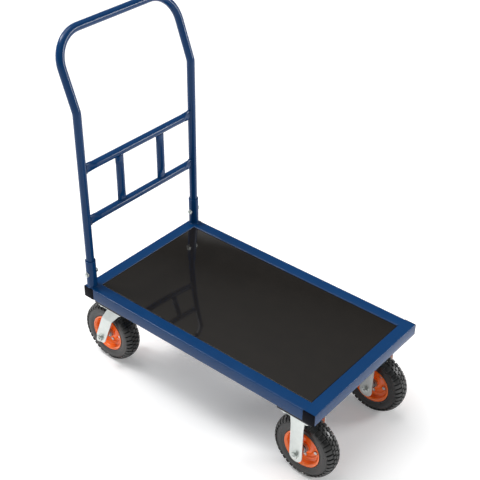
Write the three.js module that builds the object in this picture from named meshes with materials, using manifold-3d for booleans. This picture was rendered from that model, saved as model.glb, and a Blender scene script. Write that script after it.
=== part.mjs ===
// Platform cart: a flat load deck in a welded square-tube frame, a tubular push handle that drops
// into two sockets at the rear, two swivel casters under the handle end and two rigid ones in front.
// Millimetres. +X runs from the handle to the front, +Y to the cart's left, +Z up. The wheels stand
// on z = 0, and the origin is the middle of the footprint of the whole cart.
import * as THREE from "three";
import { mergeVertices } from "three/addons/utils/BufferGeometryUtils.js";
import Module from "manifold-3d";

const wasm = await Module();
wasm.setup();

// ---------------------------------------------------------------- driving dimensions
const weldGap = 0.3; // what lies against something keeps this much air
const slipClearance = 0.4; // radial room round a pin, bolt or shaft

const deckLength = 900;
const deckWidth = 512;
const beamSize = 40; // square tube of the frame
const beamWall = 2;
const beamCorner = 3;
const plugFlange = 2.2; // the cap of an end plug that shows
const plugDepth = 16;
const plugWall = 3;

const panelThickness = 12;
const panelRecess = 1.5; // how far the panel lies below the top of the frame
const panelGap = 1; // the joint line round the panel
const crossMemberWidth = 40;
const crossMemberHeight = 25;
const crossMemberCount = 3;

const mountPlateLength = 120;
const mountPlateWidth = 150;
const mountPlateThickness = 8;
const mountPlateSideInset = 3; // from the side face of the frame
const frontPlateInset = 12; // from the front face of the frame
const rearPlateInset = 40; // from the rear face of the frame

const wheelRadius = 105;
const wheelHeadroom = 53.4; // from the top of a wheel up to the caster's plate
const tyreWidth = 56;
const crownWidth = 14;
const tyreWall = 6;
const tyreBulgeHeight = 0.36; // where the sidewall is widest, as a part of the section's height
const tyreShoulderHeight = 0.74;
const tyreEdgeHeight = 0.93;
const tyreShoulderInset = 1.5;
const tyreEdgeInset = 10;
const tyreBeadSeat = 9; // width of the bead on the rim
const rimRadius = 63.5; // edge of the rim's flange
const beadRadius = 55;
const rimSheet = 2;
const rimHalfWidth = 23;
const rimLip = 2; // how far the flange's edge stands out past the bead seat
const rimWellDrop = 3; // from the bead seat down to the well
const rimWellHalfWidth = 4;
const rimDiscRadius = 45; // outer edge of the flat disc
const rimCollarRadius = 30; // where the disc turns out to the hub
const rimCollarReach = 8;
const hubRadius = 16;
const hubLength = 100;
const hubBodyLength = 46; // the thick middle that holds the bearings
const hubSpacerRadius = 12; // and the thinner ends out to the fork
const axleRadius = 6;
const axleHexAcross = 19;
const axleHexHeight = 8;
const axleTail = 4; // thread that stands past the nut

const casterPlateLength = 98;
const casterPlateWidth = 146;
const forkSheet = 4;
const forkHubClearance = 1;
const rigidLegWidth = 44;
const rigidLegTopWidth = 54;
const rigidLegEnd = 27; // leg below the axle's centre
const casterTrail = 68; // from the swivel axis back to the axle
const racewayHeight = 14; // between the swivel caster's plate and its fork
const racewayRadius = 30;
const lowerRaceRadius = 24;
const lowerRaceHeight = 5;
const crownHalfWidth = 27; // flat top of the swivel fork, sideways
const crownFront = 28; // fork top ahead of the swivel axis
const crownRear = 34; // and behind it
const shoulderDrop = 52; // from the fork's top down to where its legs turn upright
const waistFront = -11; // the leg's edges where it turns upright, from the swivel axis
const waistRear = -55;
const swivelLegEnd = 20;
const kingpinRadius = 7;
const kingpinNutRadius = 13;
const kingpinNutHeight = 9;
const hexSides = 6;
const joinSink = 1; // how far two joined solids reach into each other

const handleTubeRadius = 13;
const handleTubeWall = 2;
const handleBendHeight = 602; // above the deck
const handleBendRadius = 40;
const handleLean = THREE.MathUtils.degToRad(20);
const handleUpperLength = 223; // from the bend to the top bar, along the lean
const handleCornerRadius = 94;
const handleSideInset = 18; // centre of a leg from the end of the rear beam
const legFootGap = 1; // leg's end above the rear beam
const crossbarRadius = 13;
const crossbarWall = 1.5;
const uprightRadius = 13;
const upperBarHeight = 417; // above the deck
const lowerBarHeight = 237;
const uprightSpacing = 176; // between the two short uprights
const barFlatLength = 12; // pressed flat at each end of a bar
const barTaperLength = 26;
const barFlatThin = 0.5; // its thickness there, as a part of the diameter
const barFlatWide = 1.3;

const socketRadius = 16.5;
const socketHeight = 97;
const clampBoltRadius = 4;
const clampBoltHeight = 49; // above the deck
const clampHexAcross = 13;
const clampHexHeight = 6;
const clampTail = 3;

const tyreSides = 24;
const rimSides = 18;
const roundSides = 16;
const tubeSides = 12;

// ---------------------------------------------------------------- derived places
const axleHeight = wheelRadius;
const casterPlateBottom = 2 * wheelRadius + wheelHeadroom;
const casterPlateTop = casterPlateBottom + forkSheet;
const mountPlateTop = casterPlateTop + weldGap + mountPlateThickness;
const frameBottom = mountPlateTop + weldGap;
const deckHeight = frameBottom + beamSize; // top of the frame above the floor
const handleX = -deckLength / 2 + beamSize / 2;
const legY = deckWidth / 2 - handleSideInset;
const panelBottom = deckHeight - panelRecess - panelThickness;
const casterY = deckWidth / 2 - mountPlateSideInset - mountPlateWidth / 2;
const frontCasterX = deckLength / 2 - frontPlateInset - mountPlateLength / 2;
const rearCasterX = -deckLength / 2 + rearPlateInset + mountPlateLength / 2;
const forkInner = hubLength / 2 + forkHubClearance;
const forkOuter = forkInner + forkSheet;
const boltBoreRadius = axleRadius + slipClearance;

// ---------------------------------------------------------------- finishes
const finish = (color, roughness, metalness) =>
  new THREE.MeshStandardMaterial({ color, roughness, metalness });
const bluePaint = () => finish(0x1c4a80, 0.45, 0.1);
const zincPlate = () => finish(0xd5dbd8, 0.35, 0.8);
const blackPaint = () => finish(0x10151f, 0.4, 0.1);
const blackPlastic = () => finish(0x14161a, 0.5, 0);
const filmedBoard = () => finish(0x2b2826, 0.12, 0);
const tyreRubber = () => finish(0x2c2c2e, 0.85, 0);
const orangePaint = () => finish(0xe0501e, 0.4, 0.1);
const bearingSteel = () => finish(0xb9bec2, 0.3, 0.9);

// ---------------------------------------------------------------- solids and cuts
function solidOf(geometry) {
  const bare = geometry.clone();
  bare.deleteAttribute("normal");
  bare.deleteAttribute("uv");
  const merged = mergeVertices(bare, 1e-4);
  return new wasm.Manifold(
    new wasm.Mesh({
      numProp: 3,
      vertProperties: merged.attributes.position.array,
      triVerts: new Uint32Array(merged.index.array),
    }),
  );
}

function geometryOf(solid) {
  const mesh = solid.getMesh();
  const geometry = new THREE.BufferGeometry();
  geometry.setAttribute("position", new THREE.BufferAttribute(new Float32Array(mesh.vertProperties), 3));
  geometry.setIndex(new THREE.BufferAttribute(new Uint32Array(mesh.triVerts), 1));
  return geometry;
}

const cut = (base, ...tools) =>
  geometryOf(tools.reduce((solid, tool) => solid.subtract(solidOf(tool)), solidOf(base)));
const join = (base, ...more) =>
  geometryOf(more.reduce((solid, piece) => solid.add(solidOf(piece)), solidOf(base)));
const common = (one, other) => geometryOf(solidOf(one).intersect(solidOf(other)));

// ---------------------------------------------------------------- shared shapes
function roundedRectangle(width, height, corner, PathKind = THREE.Shape) {
  const x = width / 2 - corner;
  const y = height / 2 - corner;
  const outline = new PathKind();
  outline.absarc(x, y, corner, 0, Math.PI / 2, false);
  outline.absarc(-x, y, corner, Math.PI / 2, Math.PI, false);
  outline.absarc(-x, -y, corner, Math.PI, 1.5 * Math.PI, false);
  outline.absarc(x, -y, corner, 1.5 * Math.PI, 2 * Math.PI, false);
  return outline;
}

// A prism of an outline drawn in X and Z, running along Y and centred on it.
function prismAlongY(outline, length, curveSegments = 4) {
  const prism = new THREE.ExtrudeGeometry(outline, { depth: length, bevelEnabled: false, curveSegments });
  prism.translate(0, 0, -length / 2);
  prism.rotateX(Math.PI / 2);
  return prism;
}

// A prism of an outline drawn in Y and Z, running along X and centred on it.
function prismAlongX(outline, length, curveSegments = 4) {
  const prism = new THREE.ExtrudeGeometry(outline, { depth: length, bevelEnabled: false, curveSegments });
  prism.translate(0, 0, -length / 2);
  prism.rotateX(Math.PI / 2);
  prism.rotateZ(Math.PI / 2);
  return prism;
}

// A rectangular tube along Y, open at both ends.
function boxTube(width, height, length, wall, corner) {
  const outline = roundedRectangle(width, height, corner);
  const innerCorner = Math.max(corner - wall, corner / 4);
  outline.holes.push(roundedRectangle(width - 2 * wall, height - 2 * wall, innerCorner, THREE.Path));
  return prismAlongY(outline, length, 1);
}

// A body of revolution about Y from a profile of [radius, y] points that closes on itself. A flat
// of the outside faces straight down, so that a faceted wheel stands on it.
function turned(points, sides = roundSides) {
  const grow = 1 / Math.cos(Math.PI / sides);
  const profile = points.map(([radius, y]) => new THREE.Vector2(radius * grow, y));
  if (THREE.ShapeUtils.area(profile) < 0) profile.reverse();
  profile.push(profile[0].clone());
  return new THREE.LatheGeometry(profile, sides, Math.PI / sides);
}

function rod(radius, low, high, sides = roundSides) {
  const geometry = new THREE.CylinderGeometry(radius, radius, high - low, sides);
  return geometry.translate(0, (low + high) / 2, 0);
}

// A round hole's cutter is drawn outside its circle, so that its flats keep the full clearance.
const drill = (radius, low, high, sides = roundSides) =>
  rod(radius / Math.cos(Math.PI / sides), low, high, sides);

const hexagon = (across, low, high) => rod(across / Math.sqrt(3), low, high, 6);

// The closed profile of a pressed sheet whose one face follows the points.
function sheetProfile(points, sheet) {
  const far = points.map((point, index) => {
    const before = points[Math.max(index - 1, 0)];
    const after = points[Math.min(index + 1, points.length - 1)];
    const along = new THREE.Vector2(after[0] - before[0], after[1] - before[1]).normalize();
    return [point[0] + along.y * sheet, point[1] - along.x * sheet];
  });
  return [...points, ...far.reverse()];
}

// ---------------------------------------------------------------- a tube bent round corners
// Straight stretches take one step, and each corner takes a few steps round its arc.
class BentRoute extends THREE.Curve {
  constructor(corners) {
    super();
    this.stations = [];
    corners.forEach(({ at, radius = 0, steps = 0 }, index) => {
      const before = corners[index - 1]?.at ?? at;
      const after = corners[index + 1]?.at ?? at;
      const along = at.clone().sub(before).normalize();
      const onward = after.clone().sub(at).normalize();
      if (!radius) {
        this.stations.push({ point: at, tangent: index ? along : onward });
        return;
      }
      const turn = along.angleTo(onward);
      const setback = radius * Math.tan(turn / 2);
      const start = at.clone().addScaledVector(along, -setback);
      const inward = onward.clone().addScaledVector(along, -Math.cos(turn)).normalize();
      const centre = start.clone().addScaledVector(inward, radius);
      for (let step = 0; step <= steps; step += 1) {
        const angle = (turn * step) / steps;
        const point = centre
          .clone()
          .addScaledVector(inward, -radius * Math.cos(angle))
          .addScaledVector(along, radius * Math.sin(angle));
        const tangent = along
          .clone()
          .multiplyScalar(Math.cos(angle))
          .addScaledVector(inward, Math.sin(angle));
        this.stations.push({ point, tangent });
      }
    });
  }
  station(u) {
    return this.stations[Math.round(u * (this.stations.length - 1))];
  }
  getPointAt(u) {
    return this.station(u).point.clone();
  }
  getTangentAt(u) {
    return this.station(u).tangent.clone();
  }
}

function roundTube(route, radius, wall) {
  const section = new THREE.Shape().absarc(0, 0, radius, 0, 2 * Math.PI, false);
  section.holes.push(new THREE.Path().absarc(0, 0, radius - wall, 0, 2 * Math.PI, false));
  return new THREE.ExtrudeGeometry(section, {
    steps: route.stations.length - 1,
    curveSegments: tubeSides / 2,
    extrudePath: route,
  });
}

// A round tube along Y, pressed flat at both ends: thinner along X and wider along Z.
function flatEndedBar(radius, length) {
  const half = length / 2;
  const stops = [-half, barFlatLength - half, barFlatLength + barTaperLength - half];
  const along = [...stops, ...stops.map((stop) => -stop).reverse()];
  const outside = along.map((y) => [radius, y]);
  const inside = along.map((y) => [radius - crossbarWall, y]).reverse();
  const bar = turned([...outside, ...inside], tubeSides);
  const place = bar.attributes.position;
  for (let index = 0; index < place.count; index += 1) {
    const fromEnd = half - Math.abs(place.getY(index)) - barFlatLength;
    const pressed = 1 - THREE.MathUtils.clamp(fromEnd / barTaperLength, 0, 1);
    place.setX(index, place.getX(index) * THREE.MathUtils.lerp(1, barFlatThin, pressed));
    place.setZ(index, place.getZ(index) * THREE.MathUtils.lerp(1, barFlatWide, pressed));
  }
  return bar;
}

// ---------------------------------------------------------------- the cart's groups
const cart = new THREE.Group();

function place(parent, name, geometry, material, x = 0, y = 0, z = 0) {
  const mesh = new THREE.Mesh(geometry, material);
  mesh.name = name;
  mesh.position.set(x, y, z);
  parent.add(mesh);
}

const sides = [
  { name: "left", sign: 1 },
  { name: "right", sign: -1 },
];

// ---------------------------------------------------------------- frame and deck
function endPlug() {
  const bore = beamSize - 2 * beamWall - 2 * weldGap;
  const cap = prismAlongY(roundedRectangle(beamSize, beamSize, beamCorner), plugFlange, 1);
  cap.translate(0, -plugFlange / 2, 0);
  const body = new THREE.BoxGeometry(bore, plugDepth, bore);
  const hollow = new THREE.BoxGeometry(bore - 2 * plugWall, plugDepth, bore - 2 * plugWall);
  const bodyMiddle = -plugFlange - plugDepth / 2;
  const overlap = plugFlange / 2;
  body.scale(1, (plugDepth + overlap) / plugDepth, 1);
  body.translate(0, bodyMiddle + overlap / 2, 0);
  hollow.translate(0, bodyMiddle - weldGap, 0);
  return cut(join(cap, body), hollow);
}

function buildFrame(chassis) {
  const beamLength = deckWidth - 2 * (plugFlange + weldGap);
  const middle = frameBottom + beamSize / 2;
  for (const [name, end] of [["rear", -1], ["front", 1]]) {
    const x = end * (deckLength / 2 - beamSize / 2);
    const beam = boxTube(beamSize, beamSize, beamLength, beamWall, beamCorner);
    place(chassis, `${name}_end_beam`, beam, bluePaint(), x, 0, middle);
    for (const side of sides) {
      const plug = endPlug();
      if (side.sign < 0) plug.rotateZ(Math.PI);
      const y = (side.sign * deckWidth) / 2;
      place(chassis, `${name}_${side.name}_end_plug`, plug, blackPlastic(), x, y, middle);
    }
  }
  const railLength = deckLength - 2 * beamSize - 2 * weldGap;
  for (const side of sides) {
    const rail = boxTube(beamSize, beamSize, railLength, beamWall, beamCorner).rotateZ(Math.PI / 2);
    const y = side.sign * (deckWidth / 2 - beamSize / 2);
    place(chassis, `${side.name}_side_rail`, rail, bluePaint(), 0, y, middle);
  }
}

function buildDeck(chassis) {
  const inner = [deckLength, deckWidth].map((size) => size - 2 * beamSize);
  const [boardLength, boardWidth] = inner.map((size) => size - 2 * panelGap);
  const board = new THREE.BoxGeometry(boardLength, boardWidth, panelThickness);
  place(chassis, "deck_panel", board, filmedBoard(), 0, 0, panelBottom + panelThickness / 2);
  const memberLength = inner[1] - 2 * weldGap;
  const z = panelBottom - weldGap - crossMemberHeight / 2;
  const pitch = inner[0] / (crossMemberCount + 1);
  for (let index = 0; index < crossMemberCount; index += 1) {
    const member = boxTube(crossMemberWidth, crossMemberHeight, memberLength, beamWall, beamCorner);
    const x = (index - (crossMemberCount - 1) / 2) * pitch;
    place(chassis, `cross_member_${index + 1}`, member, bluePaint(), x, 0, z);
  }
}

function clampBolt() {
  const reach = socketRadius + weldGap;
  const shankEnd = reach + clampHexHeight + clampTail;
  const shank = rod(clampBoltRadius, -reach - joinSink, shankEnd);
  return join(shank, hexagon(clampHexAcross, -reach - clampHexHeight, -reach));
}

function hexNut(across, height, boltRadius) {
  const nut = hexagon(across, 0, height);
  return cut(nut, drill(boltRadius + slipClearance, -1, height + 1));
}

function buildSockets(chassis) {
  for (const side of sides) {
    const y = side.sign * legY;
    const bore = handleTubeRadius + slipClearance;
    const wall = [
      [socketRadius, 0],
      [socketRadius, socketHeight - weldGap],
      [bore, socketHeight - weldGap],
      [bore, 0],
    ];
    const socket = turned(wall).rotateX(Math.PI / 2);
    const hole = drill(clampBoltRadius + slipClearance, -2 * socketRadius, 2 * socketRadius);
    hole.translate(0, 0, clampBoltHeight - weldGap);
    const boltZ = deckHeight + clampBoltHeight;
    const bolt = clampBolt();
    const nut = hexNut(clampHexAcross, clampHexHeight, clampBoltRadius);
    const nutY = y - side.sign * (socketRadius + weldGap);
    if (side.sign > 0) {
      bolt.rotateZ(Math.PI);
      nut.rotateZ(Math.PI);
    }
    const foot = deckHeight + weldGap;
    place(chassis, `${side.name}_handle_socket`, cut(socket, hole), bluePaint(), handleX, y, foot);
    place(chassis, `${side.name}_clamp_bolt`, bolt, zincPlate(), handleX, y, boltZ);
    place(chassis, `${side.name}_clamp_nut`, nut, zincPlate(), handleX, nutY, boltZ);
  }
}

// ---------------------------------------------------------------- handle
// The legs' ends are slotted, open downwards, so that they drop over the clamp bolts.
function buildHandle(handle) {
  const foot = legFootGap;
  const topX = -handleUpperLength * Math.sin(handleLean);
  const topZ = handleBendHeight + handleUpperLength * Math.cos(handleLean);
  const half = (sign) => [
    { at: new THREE.Vector3(0, sign * legY, foot) },
    { at: new THREE.Vector3(0, sign * legY, handleBendHeight), radius: handleBendRadius, steps: 3 },
    { at: new THREE.Vector3(topX, sign * legY, topZ), radius: handleCornerRadius, steps: 6 },
  ];
  const route = new BentRoute([...half(1), ...half(-1).reverse()]);
  const slotRadius = clampBoltRadius + slipClearance;
  const slots = sides.flatMap(({ sign }) => {
    const round = drill(slotRadius, -2 * handleTubeRadius, 2 * handleTubeRadius);
    const straight = new THREE.BoxGeometry(2 * slotRadius, 4 * handleTubeRadius, clampBoltHeight);
    round.translate(0, sign * legY, clampBoltHeight);
    straight.translate(0, sign * legY, clampBoltHeight / 2);
    return [round, straight];
  });
  const tube = cut(roundTube(route, handleTubeRadius, handleTubeWall), ...slots);
  place(handle, "handle_tube", tube, bluePaint());
  const barLength = 2 * (legY - handleTubeRadius - weldGap);
  for (const [name, height] of [["lower", lowerBarHeight], ["upper", upperBarHeight]]) {
    place(handle, `${name}_crossbar`, flatEndedBar(crossbarRadius, barLength), bluePaint(), 0, 0, height);
  }
  const barHalf = crossbarRadius / Math.cos(Math.PI / tubeSides) + weldGap;
  const uprightLength = upperBarHeight - lowerBarHeight - 2 * barHalf;
  const uprightMiddle = (upperBarHeight + lowerBarHeight) / 2;
  for (const side of sides) {
    const upright = flatEndedBar(uprightRadius, uprightLength).rotateX(Math.PI / 2);
    const y = (side.sign * uprightSpacing) / 2;
    place(handle, `${side.name}_upright`, upright, bluePaint(), 0, y, uprightMiddle);
  }
}

// ---------------------------------------------------------------- wheels
function tyre() {
  const crown = crownWidth / 2;
  const side = tyreWidth / 2;
  const section = wheelRadius - rimRadius;
  const bead = beadRadius / Math.cos(Math.PI / rimSides) + weldGap;
  const beadFace = rimHalfWidth - weldGap - rimSheet / 4;
  const bulge = rimRadius + tyreBulgeHeight * section;
  const shoulder = rimRadius + tyreShoulderHeight * section;
  const edge = rimRadius + tyreEdgeHeight * section;
  const outside = [
    [bead, beadFace - tyreBeadSeat],
    [bead, beadFace],
    [bulge, side],
    [shoulder, side - tyreShoulderInset],
    [edge, side - tyreEdgeInset],
    [wheelRadius, crown],
  ];
  const inside = [
    [wheelRadius - tyreWall, crown + tyreWall],
    [bulge, side - tyreWall],
  ];
  const mirrored = (points) => points.map(([radius, y]) => [radius, -y]);
  const halves = [...outside, ...mirrored(outside).reverse()];
  return turned([...halves, ...mirrored(inside).reverse(), ...inside], tyreSides);
}

// One pressed half of the rim: flange, bead seat, disc and the collar that holds the hub.
function rimHalf() {
  const middle = weldGap;
  const profile = [
    [rimRadius, rimHalfWidth + rimLip],
    [beadRadius, rimHalfWidth],
    [beadRadius - rimWellDrop, middle + rimWellHalfWidth],
    [rimDiscRadius, middle],
    [rimCollarRadius, middle],
    [hubRadius + slipClearance, middle + rimCollarReach],
  ];
  return turned(sheetProfile(profile, rimSheet), rimSides);
}

function hub() {
  const half = hubLength / 2;
  const shoulder = hubBodyLength / 2;
  return turned([
    [boltBoreRadius, -half],
    [hubSpacerRadius, -half],
    [hubSpacerRadius, -shoulder],
    [hubRadius, -shoulder],
    [hubRadius, shoulder],
    [hubSpacerRadius, shoulder],
    [hubSpacerRadius, half],
    [boltBoreRadius, half],
  ]);
}

function axleBolt() {
  const face = forkOuter + weldGap;
  const shank = rod(axleRadius, -face - axleHexHeight - axleTail, face + joinSink);
  return join(shank, hexagon(axleHexAcross, face, face + axleHexHeight));
}

function buildWheel(parent, name) {
  const mirrored = rimHalf().rotateX(Math.PI);
  place(parent, `${name}_tyre`, tyre(), tyreRubber());
  place(parent, `${name}_left_rim_half`, rimHalf(), orangePaint());
  place(parent, `${name}_right_rim_half`, mirrored, orangePaint());
  place(parent, `${name}_hub`, hub(), bearingSteel());
}

function buildAxle(parent, name) {
  const nutFace = forkOuter + weldGap + axleHexHeight;
  place(parent, `${name}_axle_bolt`, axleBolt(), zincPlate());
  const nut = hexNut(axleHexAcross, axleHexHeight, axleRadius);
  place(parent, `${name}_axle_nut`, nut, zincPlate(), 0, -nutFace, 0);
}

// ---------------------------------------------------------------- casters
// A pressed fork is what its front view, run along X, has in common with its side view, run along Y.
function pressedFork(frontView, sideView, axleX) {
  const span = 3 * casterPlateWidth;
  const fork = common(prismAlongX(frontView, span), prismAlongY(sideView, span, 6));
  const axleHole = drill(boltBoreRadius, -span, span).translate(axleX, 0, axleHeight);
  return cut(fork, axleHole);
}

function rigidFork() {
  const top = casterPlateTop;
  const low = axleHeight - rigidLegEnd;
  const halfPlate = casterPlateWidth / 2;
  const frontView = new THREE.Shape([
    new THREE.Vector2(-halfPlate, top),
    new THREE.Vector2(-halfPlate, casterPlateBottom),
    new THREE.Vector2(-forkOuter, casterPlateBottom),
    new THREE.Vector2(-forkOuter, low),
    new THREE.Vector2(-forkInner, low),
    new THREE.Vector2(-forkInner, casterPlateBottom),
    new THREE.Vector2(forkInner, casterPlateBottom),
    new THREE.Vector2(forkInner, low),
    new THREE.Vector2(forkOuter, low),
    new THREE.Vector2(forkOuter, casterPlateBottom),
    new THREE.Vector2(halfPlate, casterPlateBottom),
    new THREE.Vector2(halfPlate, top),
  ]);
  const halfLeg = rigidLegWidth / 2;
  const halfTop = rigidLegTopWidth / 2;
  const waist = casterPlateBottom - shoulderDrop;
  const sideView = new THREE.Shape();
  sideView.moveTo(casterPlateLength / 2, top);
  sideView.lineTo(-casterPlateLength / 2, top);
  sideView.lineTo(-casterPlateLength / 2, casterPlateBottom);
  sideView.lineTo(-halfTop, casterPlateBottom);
  sideView.lineTo(-halfLeg, waist);
  sideView.absarc(0, low + halfLeg, halfLeg, Math.PI, 2 * Math.PI, false);
  sideView.lineTo(halfLeg, waist);
  sideView.lineTo(halfTop, casterPlateBottom);
  sideView.lineTo(casterPlateLength / 2, casterPlateBottom);
  return pressedFork(frontView, sideView, 0);
}

const forkTop = casterPlateBottom - racewayHeight;

function swivelFork() {
  const low = axleHeight - swivelLegEnd;
  const waist = forkTop - shoulderDrop;
  const half = [
    [crownHalfWidth, forkTop],
    [forkOuter, waist],
    [forkOuter, low],
    [forkInner, low],
    [forkInner, waist],
    [crownHalfWidth - forkSheet / 2, forkTop - forkSheet],
  ];
  const mirrored = half.map(([y, z]) => [-y, z]).reverse();
  const frontView = new THREE.Shape([...half, ...mirrored].map(([y, z]) => new THREE.Vector2(y, z)));
  const rake = Math.atan2(casterTrail + (waistFront + waistRear) / 2, waist - axleHeight);
  const sideView = new THREE.Shape();
  sideView.moveTo(crownFront, forkTop);
  sideView.lineTo(-crownRear, forkTop);
  sideView.lineTo(waistRear, waist);
  sideView.absarc(-casterTrail, axleHeight, swivelLegEnd, Math.PI - rake, 2 * Math.PI - rake, false);
  sideView.lineTo(waistFront, waist);
  const fork = pressedFork(frontView, sideView, -casterTrail);
  const race = rod(lowerRaceRadius, forkTop - joinSink, forkTop + lowerRaceHeight).rotateX(Math.PI / 2);
  const pinHole = drill(kingpinRadius + slipClearance, 0, deckHeight, tubeSides).rotateX(Math.PI / 2);
  return cut(join(fork, race), pinHole);
}

// The fixed plate of a swivel caster, with the upper race pressed down from it.
function swivelPlate() {
  const plate = new THREE.BoxGeometry(casterPlateLength, casterPlateWidth, forkSheet);
  plate.translate(0, 0, casterPlateTop - forkSheet / 2);
  const raceLow = forkTop + lowerRaceHeight + weldGap;
  const race = rod(racewayRadius, raceLow, casterPlateBottom + joinSink).rotateX(Math.PI / 2);
  const pinHole = drill(kingpinRadius + slipClearance, 0, deckHeight, tubeSides).rotateX(Math.PI / 2);
  return cut(join(plate, race), pinHole);
}

function kingpin() {
  const nutTop = forkTop - forkSheet - weldGap;
  const pin = rod(kingpinRadius, nutTop - joinSink, casterPlateTop - weldGap, tubeSides);
  return join(pin, rod(kingpinNutRadius, nutTop - kingpinNutHeight, nutTop, hexSides)).rotateX(Math.PI / 2);
}

function buildCaster(chassis, name, x, y, swivels) {
  const caster = new THREE.Group();
  const axle = new THREE.Group();
  const mount = new THREE.BoxGeometry(mountPlateLength, mountPlateWidth, mountPlateThickness);
  caster.position.set(x, y, 0);
  axle.position.set(swivels ? -casterTrail : 0, 0, axleHeight);
  caster.add(axle);
  chassis.add(caster);
  const mountMiddle = mountPlateTop - mountPlateThickness / 2;
  place(caster, `${name}_mount_plate`, mount, blackPaint(), 0, 0, mountMiddle);
  if (swivels) {
    place(caster, `${name}_swivel_plate`, swivelPlate(), zincPlate());
    place(caster, `${name}_kingpin`, kingpin(), zincPlate());
    place(caster, `${name}_swivel_fork`, swivelFork(), zincPlate());
  } else {
    place(caster, `${name}_rigid_fork`, rigidFork(), zincPlate());
  }
  buildAxle(axle, name);
  buildWheel(axle, name);
}

// ---------------------------------------------------------------- assembly
const chassis = new THREE.Group();
const handle = new THREE.Group();
handle.position.set(handleX, 0, deckHeight);
buildFrame(chassis);
buildDeck(chassis);
buildSockets(chassis);
buildHandle(handle);
for (const side of sides) {
  buildCaster(chassis, `rear_${side.name}`, rearCasterX, side.sign * casterY, true);
  buildCaster(chassis, `front_${side.name}`, frontCasterX, side.sign * casterY, false);
}
cart.add(chassis, handle);

// The origin is the middle of the cart's own footprint.
const rearWheelEnd = rearCasterX - casterTrail - wheelRadius;
const pushBarEnd = handleX - handleUpperLength * Math.sin(handleLean) - handleTubeRadius;
const rearEnd = Math.min(rearWheelEnd, pushBarEnd);
const frontEnd = Math.max(frontCasterX + wheelRadius, deckLength / 2);
cart.position.x = -(rearEnd + frontEnd) / 2;

export default cart;
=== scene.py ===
"""Platform cart: a board deck in a square-tube frame, a lift-out push handle and four air-tyred casters.

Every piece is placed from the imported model's own boxes. Sizes that belong to a piece alone are
fields of its class, in millimetres, and MM turns them to Blender's metres.
"""
import logging
import math
from collections.abc import Callable, Sequence
from dataclasses import dataclass
from enum import Enum

import bpy
from mathutils import Matrix, Vector


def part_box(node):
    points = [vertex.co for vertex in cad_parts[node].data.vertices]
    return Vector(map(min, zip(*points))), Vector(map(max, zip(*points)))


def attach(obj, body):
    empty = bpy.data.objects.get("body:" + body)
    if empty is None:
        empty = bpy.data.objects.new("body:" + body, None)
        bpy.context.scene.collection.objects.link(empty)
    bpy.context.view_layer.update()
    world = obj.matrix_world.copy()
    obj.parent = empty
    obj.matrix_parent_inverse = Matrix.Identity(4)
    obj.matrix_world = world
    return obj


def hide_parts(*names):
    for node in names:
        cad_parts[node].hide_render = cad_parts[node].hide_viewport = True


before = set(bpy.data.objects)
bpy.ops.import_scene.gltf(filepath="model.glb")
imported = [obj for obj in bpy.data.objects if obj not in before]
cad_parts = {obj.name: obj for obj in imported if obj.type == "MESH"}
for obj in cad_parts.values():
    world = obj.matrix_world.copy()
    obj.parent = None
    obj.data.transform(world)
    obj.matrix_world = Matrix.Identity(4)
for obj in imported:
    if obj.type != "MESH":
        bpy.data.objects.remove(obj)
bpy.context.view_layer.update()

logger = logging.getLogger("platform_cart")

MM = 0.001
SMOOTH_ANGLE = math.radians(35)
WELD_DISTANCE = 1e-6
X, Y, Z = Vector((1, 0, 0)), Vector((0, 1, 0)), Vector((0, 0, 1))
# A corner of an outline: its place across, its place along, and the radius of its arc.
Corner = tuple[float, float, float]
Object = bpy.types.Object
# A face counts as facing a direction when its normal has more than this much of it.
FACING = 0.9
# The sockets of a mix node that carry colours. Their names repeat, so only their numbers tell them apart.
MIX_FIRST_COLOUR, MIX_SECOND_COLOUR, MIX_COLOUR_RESULT = 6, 7, 2


class Side(Enum):
    """The cart's left and right, as the sign of Y."""

    LEFT = 1
    RIGHT = -1

    @property
    def word(self) -> str:
        """The side's name as it stands in a piece's name."""
        return self.name.lower()


class End(Enum):
    """The cart's two ends, as the sign of X."""

    FRONT = 1
    REAR = -1

    @property
    def word(self) -> str:
        """The end's name as it stands in a piece's name."""
        return self.name.lower()


# ---------------------------------------------------------------- mesh tools
def deselect_all() -> None:
    """Goes back to object mode with nothing selected."""
    if bpy.context.object and bpy.context.object.mode != "OBJECT":
        bpy.ops.object.mode_set(mode="OBJECT")
    bpy.ops.object.select_all(action="DESELECT")


def activate(piece: Object) -> None:
    """Makes the piece the only selected one, and the active one."""
    deselect_all()
    piece.select_set(True)
    bpy.context.view_layer.objects.active = piece


def discard(*pieces: Object) -> None:
    """Removes pieces that were only needed while modelling."""
    for piece in pieces:
        bpy.data.objects.remove(piece)


def modify(piece: Object, kind: str, **settings: object) -> None:
    """Adds a modifier to the piece and applies it.

    Args:
        piece: The piece to change.
        kind: The modifier's type.
        **settings: The modifier's own settings.
    """
    activate(piece)
    bpy.ops.object.modifier_add(type=kind)
    modifier = piece.modifiers[-1]
    for name, value in settings.items():
        setattr(modifier, name, value)
    bpy.ops.object.modifier_apply(modifier=modifier.name)


def cut_with(piece: Object, cutter: Object) -> None:
    """Cuts the cutter's shape out of the piece and discards the cutter."""
    modify(piece, "BOOLEAN", operation="DIFFERENCE", solver="EXACT", object=cutter)
    discard(cutter)


def keep_common(piece: Object, other: Object) -> None:
    """Keeps what the piece has in common with the other one, which is discarded."""
    modify(piece, "BOOLEAN", operation="INTERSECT", solver="EXACT", object=other)
    discard(other)


def smooth(piece: Object, angle: float = SMOOTH_ANGLE) -> None:
    """Shades the piece smooth, except where its faces meet at more than the angle."""
    activate(piece)
    bpy.ops.object.shade_smooth_by_angle(angle=angle)


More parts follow.
